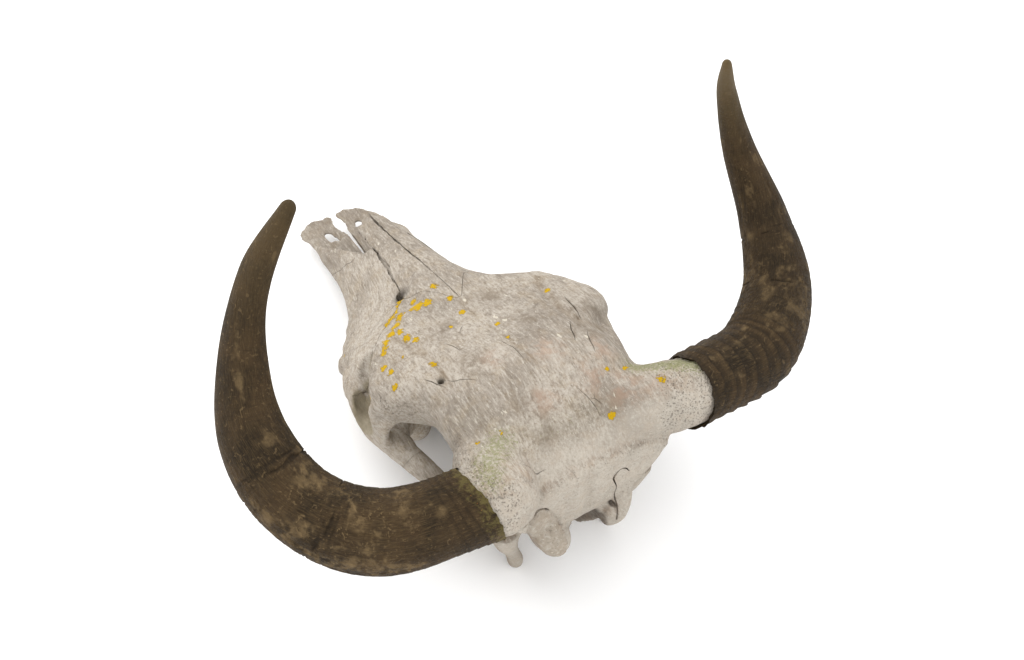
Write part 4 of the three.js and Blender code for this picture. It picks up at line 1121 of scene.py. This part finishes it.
class Coat:
    """A material while it is built: its nodes, the piece's own coordinates and the colour so far."""

    def __init__(self, name, roughness, specular, ground):
        self.material = bpy.data.materials.new(name)
        self.material.use_nodes = True
        self.tree = self.material.node_tree
        self.shader = self.tree.nodes["Principled BSDF"]
        self.shader.inputs["Roughness"].default_value = roughness
        self.shader.inputs["Specular IOR Level"].default_value = specular
        self.at = self.add("ShaderNodeTexCoord").outputs["Object"]
        self.colour = ground

    def put(self, socket, value):
        """Links an input to another node's socket, or sets it to a value or a colour."""
        if isinstance(value, bpy.types.NodeSocket):
            self.tree.links.new(value, socket)
        else:
            socket.default_value = (*value[:3], 1.0) if socket.type == "RGBA" else value

    def add(self, kind, inputs=None, **settings):
        """A node with its settings and inputs."""
        node = self.tree.nodes.new(kind)
        for key, value in settings.items():
            setattr(node, key, value)
        for key, value in (inputs or {}).items():
            self.put(node.inputs[key], value)
        return node

    def stretched(self, vector, scale):
        """The vector with each of its axes scaled."""
        return self.add("ShaderNodeVectorMath", {0: vector, 1: scale}, operation="MULTIPLY").outputs[0]

    def noise(self, scale, detail=3.0, roughness=0.55, distortion=0.0, at=None):
        """A noise value between 0 and 1."""
        return self.add("ShaderNodeTexNoise", {
            "Vector": self.at if at is None else at, "Scale": scale, "Detail": detail,
            "Roughness": roughness, "Distortion": distortion}).outputs["Fac"]

    def cells(self, scale, feature="F1", at=None):
        """Distance to the nearest cell's middle, or to the edge between two cells."""
        return self.add("ShaderNodeTexVoronoi", {"Vector": self.at if at is None else at, "Scale": scale},
                        feature=feature).outputs["Distance"]

    def step(self, value, low, high):
        """Smooth step of a value: 0 at low, 1 at high."""
        return self.add("ShaderNodeMapRange", {"Value": value, "From Min": low, "From Max": high},
                        interpolation_type="SMOOTHSTEP").outputs[0]

    def reckon(self, operation, a, b=0.0, c=0.0):
        """One arithmetic step."""
        return self.add("ShaderNodeMath", {0: a, 1: b, 2: c}, operation=operation).outputs[0]

    def times(self, a, b):
        """The product of two values."""
        return self.reckon("MULTIPLY", a, b)

    def mark(self, name):
        """A number stored on the piece's points."""
        return self.add("ShaderNodeAttribute", attribute_name=name).outputs["Fac"]

    def blend(self, mask, below, above):
        """One colour over another where the mask is high."""
        return self.add("ShaderNodeMix", {0: mask, 6: below, 7: above}, data_type="RGBA").outputs[2]

    def over(self, tint, mask, strength=None):
        """Lays a tint over the colour so far where the mask is high."""
        mask = mask if strength is None else self.times(mask, strength)
        self.colour = self.blend(mask, self.colour, tint)

    def over_each(self, rows):
        """Lays several tints in order; each row is a value, its low and high, a strength and the tint."""
        for value, low, high, strength, tint in rows:
            self.over(tint, self.step(value, low, high), strength)

    def roughen(self, value, low, high):
        """Roughness from low to high as the value goes through its middle range."""
        rough = self.add("ShaderNodeMapRange", {"Value": value, "From Min": 0.3, "From Max": 0.7,
                                                "To Min": low, "To Max": high})
        self.put(self.shader.inputs["Roughness"], rough.outputs[0])

    def finish(self, heights=(), strength=0.0, distance=0.0):
        """Hands on the colour, and as bump the sum of height values, each times its share."""
        self.put(self.shader.inputs["Base Color"], self.colour)
        if heights:
            height = 0.0
            for value, share in heights:
                height = self.reckon("MULTIPLY_ADD", value, share, height)
            relief = self.add("ShaderNodeBump", {"Strength": strength, "Distance": distance,
                                                 "Height": height})
            self.put(self.shader.inputs["Normal"], relief.outputs[0])
        return self.material


def tone(red, green, blue):
    """A colour given in the 0 to 255 numbers of a screen, as the linear values that shaders use."""
    value = np.array([red, green, blue]) / 255
    return tuple(np.where(value <= 0.04045, value / 12.92, ((value + 0.055) / 1.055) ** 2.4).tolist())


def bone_material(name, settings, grain=(1.0, 0.16, 1.0)):
    """Weathered bone: clouds of grey and brown over a pale ground, a fibrous grain along the skull,
    pits, hairline cracks, chipped creamy scars, golden lichen, a green bloom of algae, and painted shade in
    hollows, in the temporal fossa and on the undersides."""
    coat = Coat(name, 0.86, 0.22, settings.pale)
    lengthwise = coat.stretched(coat.at, grain)
    broad, medium, fine = coat.noise(15, 6, 0.62, 0.3), coat.noise(70, 6, 0.68), coat.noise(480, 4, 0.7)
    fibre, streak = coat.noise(460, 5, 0.8, at=lengthwise), coat.noise(170, 5, 0.7, 0.3, lengthwise)
    coat.over_each([
        (broad, 0.38, 0.64, None, settings.dark), (medium, 0.46, 0.66, 0.55, settings.warm),
        (streak, 0.5, 0.68, 0.5, settings.stain), (fine, 0.48, 0.66, 0.4, settings.stain),
        (coat.noise(310, 3, 0.65), 0.6, 0.68, 0.5, settings.warm_dark),
        (fibre, 0.5, 0.66, 0.62, settings.stain), (fibre, 0.5, 0.34, 0.7, settings.cream),
    ])
    # clouds of stain
    coat.over(settings.stain, coat.times(coat.mark("stain"), coat.step(medium, 0.38, 0.62)), 0.72)
    coat.over(settings.rosy, coat.times(coat.mark("rosy"), coat.step(medium, 0.4, 0.62)), 0.5)
    coat.over(settings.cream, coat.mark("smooth_back"), 0.45)
    coat.over(settings.warm_dark, coat.times(coat.mark("seam"), coat.step(streak, 0.34, 0.56)), 0.75)
    # chips and flakes where a paler layer shows
    flake = coat.noise(330, 3, 0.5, 0.6, lengthwise)
    chips = coat.step(coat.reckon("MULTIPLY_ADD", coat.mark("creamy"), 0.24, flake), 0.68, 0.73)
    coat.over(settings.chip, chips, 0.7)
    # pits, denser where the bone is porous
    porous = coat.mark("porous")
    reach = coat.reckon("MULTIPLY_ADD", porous, 0.22, 0.08)
    small = coat.step(coat.reckon("SUBTRACT", reach, coat.cells(620)), 0.0, 0.12)
    where = coat.step(coat.reckon("MULTIPLY_ADD", porous, 0.4, coat.noise(120, 2)), 0.55, 0.75)
    large = coat.step(coat.reckon("SUBTRACT", coat.times(porous, 0.3), coat.cells(330)), 0.0, 0.1)
    pits = coat.reckon("MAXIMUM", coat.times(small, where), large)
    coat.over(settings.deep, pits, 0.4)
    # hairline cracks
    bent = coat.add("ShaderNodeMix", {0: 0.006, 4: lengthwise}, data_type="VECTOR")
    wobble = coat.add("ShaderNodeTexNoise", {"Vector": coat.at, "Scale": 60.0})
    coat.put(bent.inputs[5], wobble.outputs["Color"])
    web = coat.cells(48, "DISTANCE_TO_EDGE", bent.outputs[1])
    line = coat.times(coat.step(web, 0.016, 0.003), coat.step(coat.noise(22, 2), 0.64, 0.72))
    coat.over(settings.deep, line, 0.45)
    # painted shade in the shaded places and the hollows, and the olive film in the sockets and the nape pit
    for mark_name, strength, tint in (("shade", 0.3, settings.dark), ("olive", 0.6, settings.olive),
                                      ("hollow", 0.9, settings.deep)):
        coat.over(tint, coat.mark(mark_name), strength)
    # green bloom and lichen
    algae, lichen = coat.mark("algae"), coat.mark("lichen")
    bloom = coat.reckon("MULTIPLY_ADD", algae, 0.3, coat.noise(460, 4, 0.75))
    coat.over(settings.algae, coat.step(bloom, 0.66, 0.8), 0.6)
    coat.over(settings.algae, algae, 0.1)
    crust = coat.reckon("MULTIPLY_ADD", coat.noise(330, 4, 0.7), 3.4, coat.reckon("SUBTRACT", lichen, 2.05))
    crust = coat.times(coat.step(crust, 0.0, 0.1), coat.step(lichen, 0.1, 0.3))
    coat.over(coat.blend(coat.noise(700, 2), settings.lichen, tone(156, 124, 12)), crust)
    coat.roughen(fine, 0.78, 0.95)
    return coat.finish([(fibre, 0.55), (fine, 0.5), (streak, 0.5), (pits, -0.9), (line, -0.9), (chips, -0.5),
                        (crust, 1.3)], 0.85, 0.0009)


def horn_material(settings):
    """Old horn: brown-black keratin with lengthwise fibres, greyed ridges, worn pale patches, beige
    scales and moss with orange flecks near the base."""
    coat = Coat("weathered_horn", 0.66, 0.12, settings.brown)
    grain = coat.add("ShaderNodeAttribute", attribute_name="grain").outputs["Vector"]
    fibre = coat.noise(2.1, 4, 0.65, at=coat.stretched(grain, (1.0, 1.0, 0.05)))
    hair = coat.noise(5.5, 3, 0.6, at=coat.stretched(grain, (1.0, 1.0, 0.03)))
    hoops = coat.noise(0.55, 4, 0.6, at=coat.stretched(grain, (0.08, 0.08, 1.0)))
    medium, fine = coat.noise(90, 5, 0.6), coat.noise(520, 4, 0.65)
    coat.over_each([
        (coat.noise(26, 5, 0.6, 0.5), 0.36, 0.66, None, settings.dark),
        (fibre, 0.44, 0.68, 0.6, settings.light),
        (hair, 0.56, 0.36, 0.5, settings.dark), (hoops, 0.52, 0.7, 0.35, settings.dark),
        (coat.mark("ridge"), 0.55, 0.05, 0.55, settings.dark),
    ])
    coat.over(settings.worn, coat.times(coat.mark("worn"), coat.step(medium, 0.4, 0.62)), 0.75)
    scale_edge = coat.step(coat.mark("scaly"), 0.72, 1.0)
    coat.over(settings.worn, coat.times(scale_edge, coat.step(medium, 0.48, 0.72)))
    coat.over_each([(coat.noise(150, 3, 0.6, 0.8), 0.63, 0.7, 0.4, settings.worn),
                    (coat.noise(330, 3, 0.6), 0.6, 0.7, 0.34, settings.worn)])
    for mark_name, strength, tint in (("gloom", 0.7, settings.dark), ("toward_tip", 0.6, settings.pale),
                                      ("furrow", 0.85, settings.dark)):
        coat.over(tint, coat.mark(mark_name), strength)
    base = coat.mark("base_moss")
    moss = coat.reckon("MULTIPLY_ADD", base, 0.36, coat.noise(170, 5, 0.8))
    coat.over(settings.moss, coat.step(moss, 0.7, 0.9), 0.62)
    fleck = coat.step(coat.noise(380, 2), 0.72, 0.76)
    coat.over(tone(150, 96, 48), coat.times(fleck, coat.step(base, 0.3, 0.8)))
    coat.roughen(fine, 0.5, 0.8)
    return coat.finish([(fibre, 1.0), (hair, 0.5), (hoops, 0.35), (fine, 0.3)], 0.9, 0.0009)


def tooth_material(settings):
    """Old enamel and dentine: ivory with fine upright lines, brown towards the gum and in the pits."""
    coat = Coat("old_teeth", 0.42, 0.45, settings.enamel)
    lines = coat.noise(520, 3, 0.6, at=coat.stretched(coat.at, (1.0, 1.0, 0.08)))
    patches = coat.noise(130, 4, 0.6)
    gum = coat.reckon("MULTIPLY_ADD", patches, 0.5, coat.mark("gum"))
    coat.over_each([(value, low, high, strength, settings.enamel_stain) for value, low, high, strength in (
        (patches, 0.4, 0.65, None), (lines, 0.5, 0.7, 0.4), (gum, 0.7, 1.05, None))])
    coat.over(tone(58, 42, 30), coat.mark("pit"), 0.9)
    return coat.finish([(lines, 1.0)], 0.5, 0.0004)


def floor_material(settings):
    """Matt studio floor with a barely visible mottling."""
    coat = Coat("studio_floor", 0.95, 0.1, settings.floor)
    coat.over((0.8, 0.8, 0.8), coat.noise(3, 2), 0.08)
    return coat.finish()


# ---------------------------------------------------------------------------------------------
# Settings, operators and panel
# ---------------------------------------------------------------------------------------------

def colour_setting(name, description, default):
    """A colour that a user may change."""
    return bpy.props.FloatVectorProperty(name=name, description=description, subtype="COLOR", size=3,
                                         min=0, max=1, default=tone(*default))


class BoneSettings(bpy.types.PropertyGroup):
    """Sizes and colours of the bones and teeth."""
    cell: bpy.props.FloatProperty(
        name="Mesh size", description="Distance between neighbouring points of the bones",
        default=0.0019, min=0.0012, max=0.006, precision=4, unit="LENGTH")
    unevenness: bpy.props.FloatProperty(
        name="Unevenness", description="Height of the soft waves of the bone surface",
        default=0.0007, min=0.0, max=0.003, precision=4, unit="LENGTH")
    pale: colour_setting("Pale bone", "Ground colour of clean bone", (171, 162, 150))
    # also the colour of the painted shade in the temporal fossa and on the undersides
    dark: colour_setting("Grey bone", "Colour of the cloudy grey parts", (139, 130, 119))
    warm: colour_setting("Warm bone", "Colour of the yellowish parts", (153, 139, 119))
    warm_dark: colour_setting("Seam", "Colour of the dirt in seams and grooves", (112, 95, 72))
    cream: colour_setting("Cream bone", "Colour of the palest fibres and the nape", (186, 179, 167))
    chip: colour_setting("Chipped bone", "Colour of the layer under small flakes", (203, 195, 178))
    stain: colour_setting("Stain", "Colour of the brown clouds and fibres", (112, 101, 88))
    rosy: colour_setting("Rosy bone", "Colour of the faint pinkish patches", (160, 134, 117))
    # the dirt of pits and cracks, and also the painted shade laid into hollows
    deep: colour_setting("Dirt_and_painted_shade", "Colour of pits, cracks and hollows", (44, 37, 30))
    olive: colour_setting("Olive film", "Colour of the film in the eye sockets", (128, 118, 92))
    algae: colour_setting("Algae", "Colour of the green bloom", (112, 116, 62))
    lichen: colour_setting("Lichen", "Colour of the golden lichen", (196, 158, 10))
    enamel: colour_setting("Enamel", "Colour of the teeth", (178, 167, 142))
    enamel_stain: colour_setting("Tooth stain", "Colour of the stained parts of the teeth", (118, 98, 70))


class HornSettings(bpy.types.PropertyGroup):
    """Colours of the horn sheaths."""
    brown: colour_setting("Horn", "Main colour of the sheaths", (66, 51, 33))
    dark: colour_setting("Dark horn", "Colour of the grooves and darkest parts", (36, 28, 18))
    light: colour_setting("Light horn", "Colour of the greyed fibres", (96, 79, 52))
    worn: colour_setting("Worn horn", "Colour of rubbed and flaked patches", (120, 100, 70))
    pale: colour_setting("Horn tips", "Colour of the smoother tips", (112, 95, 66))
    moss: colour_setting("Moss", "Colour of the growth near the bases", (104, 94, 54))


class StageSettings(bpy.types.PropertyGroup):
    """Floor and light."""
    floor_size: bpy.props.FloatProperty(name="Floor", description="Length of the floor's sides", default=9.0,
                                        min=2.0, max=40.0, unit="LENGTH")
    floor: colour_setting("Floor colour", "Colour of the floor", (250, 250, 250))
    key: bpy.props.FloatProperty(name="Key light", description="Strength of the large soft light",
                                 default=24.0, min=0.0, max=500.0, unit="POWER")
    sky: bpy.props.FloatProperty(name="Sky light", description="Strength of the even light from all round",
                                 default=1.45, min=0.0, max=5.0)


class SKULL_OT_bones(bpy.types.Operator):
    """Builds the cranium and the bones of the face from one blank, parted along their sutures"""
    bl_idname = "skull.bones"
    bl_label = "Cranium and face bones"

    def execute(self, context):
        settings = context.scene.skull_bones
        blank = skull_blank(settings.cell / MM)
        weather(blank, settings.unevenness)
        room = upper_surface(ROOM_CELL)
        bones = {}
        for side, _ in SIDES:
            gap = block(nasal_outline(side, SUTURE), 60, 220)
            carved(gap, [("DIFFERENCE", [lowered(room, NASAL_THICKNESS + SUTURE)])])
            carved(blank, [("DIFFERENCE", [gap])])
        remove([room])
        cracks = [crack(blank, plan, width, depth, 50 + i) for i, (plan, width, depth) in enumerate(CRACKS)]
        carved(blank, [("DIFFERENCE", [*cracks, *nape_cuts(), palate_slit()])])
        for side, word in SIDES:
            for part, own, taken in territories(side):
                name = f"{part}_{word}"
                bones[name] = carved(copy_of(blank, name), [("INTERSECT", [block(*own)])])
                carved(blank, [("DIFFERENCE", [block(*taken)])])
        bones["cranium"] = blank
        material = bone_material("weathered_bone", settings)
        for name, obj in bones.items():
            obj.name = "helper"     # sets the name free for the visible piece
            bone_piece(name, obj, material)
        return {"FINISHED"}


class SKULL_OT_nasal_bones(bpy.types.Operator):
    """Builds the two nasal bones with their prongs and the crack between them"""
    bl_idname = "skull.nasal_bones"
    bl_label = "Nasal bones"

    def execute(self, context):
        settings = context.scene.skull_bones
        skin = upper_surface(SKIN_CELL)
        weather(skin, settings.unevenness)
        material = bone_material("weathered_nasal_bone", settings, grain=(1.0, 0.08, 1.0))
        for side, word in SIDES:
            plate = block(nasal_outline(side, 0), 60, 220)
            carved(plate, [("INTERSECT", [copy_of(skin, "skin")]),
                           ("DIFFERENCE", [lowered(skin, NASAL_THICKNESS)])])
            bone_piece(f"nasal_{word}", plate, material)
        remove([skin])
        return {"FINISHED"}


class SKULL_OT_teeth(bpy.types.Operator):
    """Builds the two rows of six cheek teeth"""
    bl_idname = "skull.teeth"
    bl_label = "Cheek teeth"

    def execute(self, context):
        material = tooth_material(context.scene.skull_bones)
        for side, word in SIDES:
            made, gum, pit = tooth_row(side)
            row = finished(f"teeth_{word}", made, material, [f"maxilla_{word}"], 60)
            mark(row, "gum", gum)
            mark(row, "pit", pit)
        return {"FINISHED"}


class SKULL_OT_horn_sheaths(bpy.types.Operator):
    """Builds the two horn sheaths with their rings, fibres, scales and sockets"""
    bl_idname = "skull.horn_sheaths"
    bl_label = "Horn sheaths"

    def execute(self, context):
        material = horn_material(context.scene.skull_horns)
        for horn, word, seed in ((HORN_LEFT, "left", 100), (HORN_RIGHT, "right", 200)):
            made, marks, grain = horn_sheath(horn, seed)
            sheath = finished(f"horn_sheath_{word}", made, material, [f"horn_sheath_{word}"], 70)
            for name, values in marks.items():
                mark(sheath, name, values)
            grain_layer = sheath.data.attributes.new("grain", "FLOAT_VECTOR", "POINT")
            grain_layer.data.foreach_set("vector", grain.astype(np.float32).ravel())
        return {"FINISHED"}


class SKULL_OT_stage(bpy.types.Operator):
    """Lays the floor and sets up the light and the camera"""
    bl_idname = "skull.stage"
    bl_label = "Floor, light and camera"

    def execute(self, context):
        settings = context.scene.skull_stage
        half = settings.floor_size / 2
        mesh = bpy.data.meshes.new("floor")
        corners = [(-half, -half, 0), (half, -half, 0), (half, half, 0), (-half, half, 0)]
        mesh.from_pydata(corners, [], [(0, 1, 2, 3)])
        mesh.materials.append(floor_material(settings))
        floor = bpy.data.objects.new("floor", mesh)
        context.scene.collection.objects.link(floor)
        add_lights(settings)
        add_camera()
        return {"FINISHED"}


class SKULL_PT_panel(bpy.types.Panel):
    """Settings and builders of the skull"""
    bl_idname = "SKULL_PT_panel"
    bl_label = "Bull skull"
    bl_space_type = "VIEW_3D"
    bl_region_type = "UI"
    bl_category = "Skull"

    def draw(self, context):
        for group, operators in (
            (context.scene.skull_bones, (SKULL_OT_bones, SKULL_OT_nasal_bones, SKULL_OT_teeth)),
            (context.scene.skull_horns, (SKULL_OT_horn_sheaths,)),
            (context.scene.skull_stage, (SKULL_OT_stage,)),
        ):
            box = self.layout.box()
            for key in group.__annotations__:
                box.prop(group, key)
            for operator in operators:
                box.operator(operator.bl_idname)


# ---------------------------------------------------------------------------------------------
# Stage
# ---------------------------------------------------------------------------------------------

def add_lights(settings):
    """One large soft light above the nose and the left side, and an even sky."""
    data = bpy.data.lights.new("key", "AREA")
    data.energy = settings.key
    data.size = 1.6
    key = bpy.data.objects.new("key", data)
    where = Vector((0.75, -1.35, 2.1))
    key.location = where
    key.rotation_euler = (Vector((0.0, 0.02, 0.12)) - where).to_track_quat("-Z", "Y").to_euler()
    bpy.context.scene.collection.objects.link(key)
    bpy.context.scene.view_settings.view_transform = "Standard"
    world = bpy.data.worlds.new("studio")
    bpy.context.scene.world = world
    world.use_nodes = True
    sky = world.node_tree.nodes["Background"]
    sky.inputs["Color"].default_value = (1.0, 1.0, 1.0, 1.0)
    sky.inputs["Strength"].default_value = settings.sky


def add_camera():
    """Camera above and behind the animal's left side, aimed at the middle of the skull."""
    focal, distance = 1501.7, 1456.4
    azimuth, elevation, roll = (math.radians(angle) for angle in (31, 50.7, 0.8))
    back = np.array([math.sin(azimuth) * math.cos(elevation), math.cos(azimuth) * math.cos(elevation),
                     math.sin(elevation)])
    right = unit(np.cross(-back, [0, 0, 1.0]))
    up = np.cross(right, -back)
    turned_right = right * math.cos(roll) + up * math.sin(roll)
    turned_up = up * math.cos(roll) - right * math.sin(roll)
    data = bpy.data.cameras.new("camera")
    data.sensor_width = 36
    data.lens = focal / FRAME_WIDTH * data.sensor_width
    data.shift_x = 58.3 / FRAME_WIDTH
    data.shift_y = -5.9 / FRAME_WIDTH
    camera = bpy.data.objects.new("camera", data)
    turn = np.column_stack([turned_right, turned_up, back])
    where = Matrix.Translation(place([0, -230, 110] + back * distance))
    camera.matrix_world = where @ Matrix(turn.tolist()).to_4x4()
    bpy.context.scene.collection.objects.link(camera)
    bpy.context.scene.camera = camera


CLASSES = (BoneSettings, HornSettings, StageSettings, SKULL_OT_bones, SKULL_OT_nasal_bones, SKULL_OT_teeth,
           SKULL_OT_horn_sheaths, SKULL_OT_stage, SKULL_PT_panel)


def register():
    """Makes the settings, operators and panel known to Blender."""
    for cls in CLASSES:
        bpy.utils.register_class(cls)
    bpy.types.Scene.skull_bones = bpy.props.PointerProperty(type=BoneSettings)
    bpy.types.Scene.skull_horns = bpy.props.PointerProperty(type=HornSettings)
    bpy.types.Scene.skull_stage = bpy.props.PointerProperty(type=StageSettings)


def unregister():
    """Takes them away again."""
    for name in ("skull_bones", "skull_horns", "skull_stage"):
        delattr(bpy.types.Scene, name)
    for cls in reversed(CLASSES):
        bpy.utils.unregister_class(cls)


def main():
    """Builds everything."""
    register()
    bpy.ops.skull.bones()
    bpy.ops.skull.nasal_bones()
    bpy.ops.skull.teeth()
    bpy.ops.skull.horn_sheaths()
    bpy.ops.skull.stage()


if __name__ == "__main__":
    main()
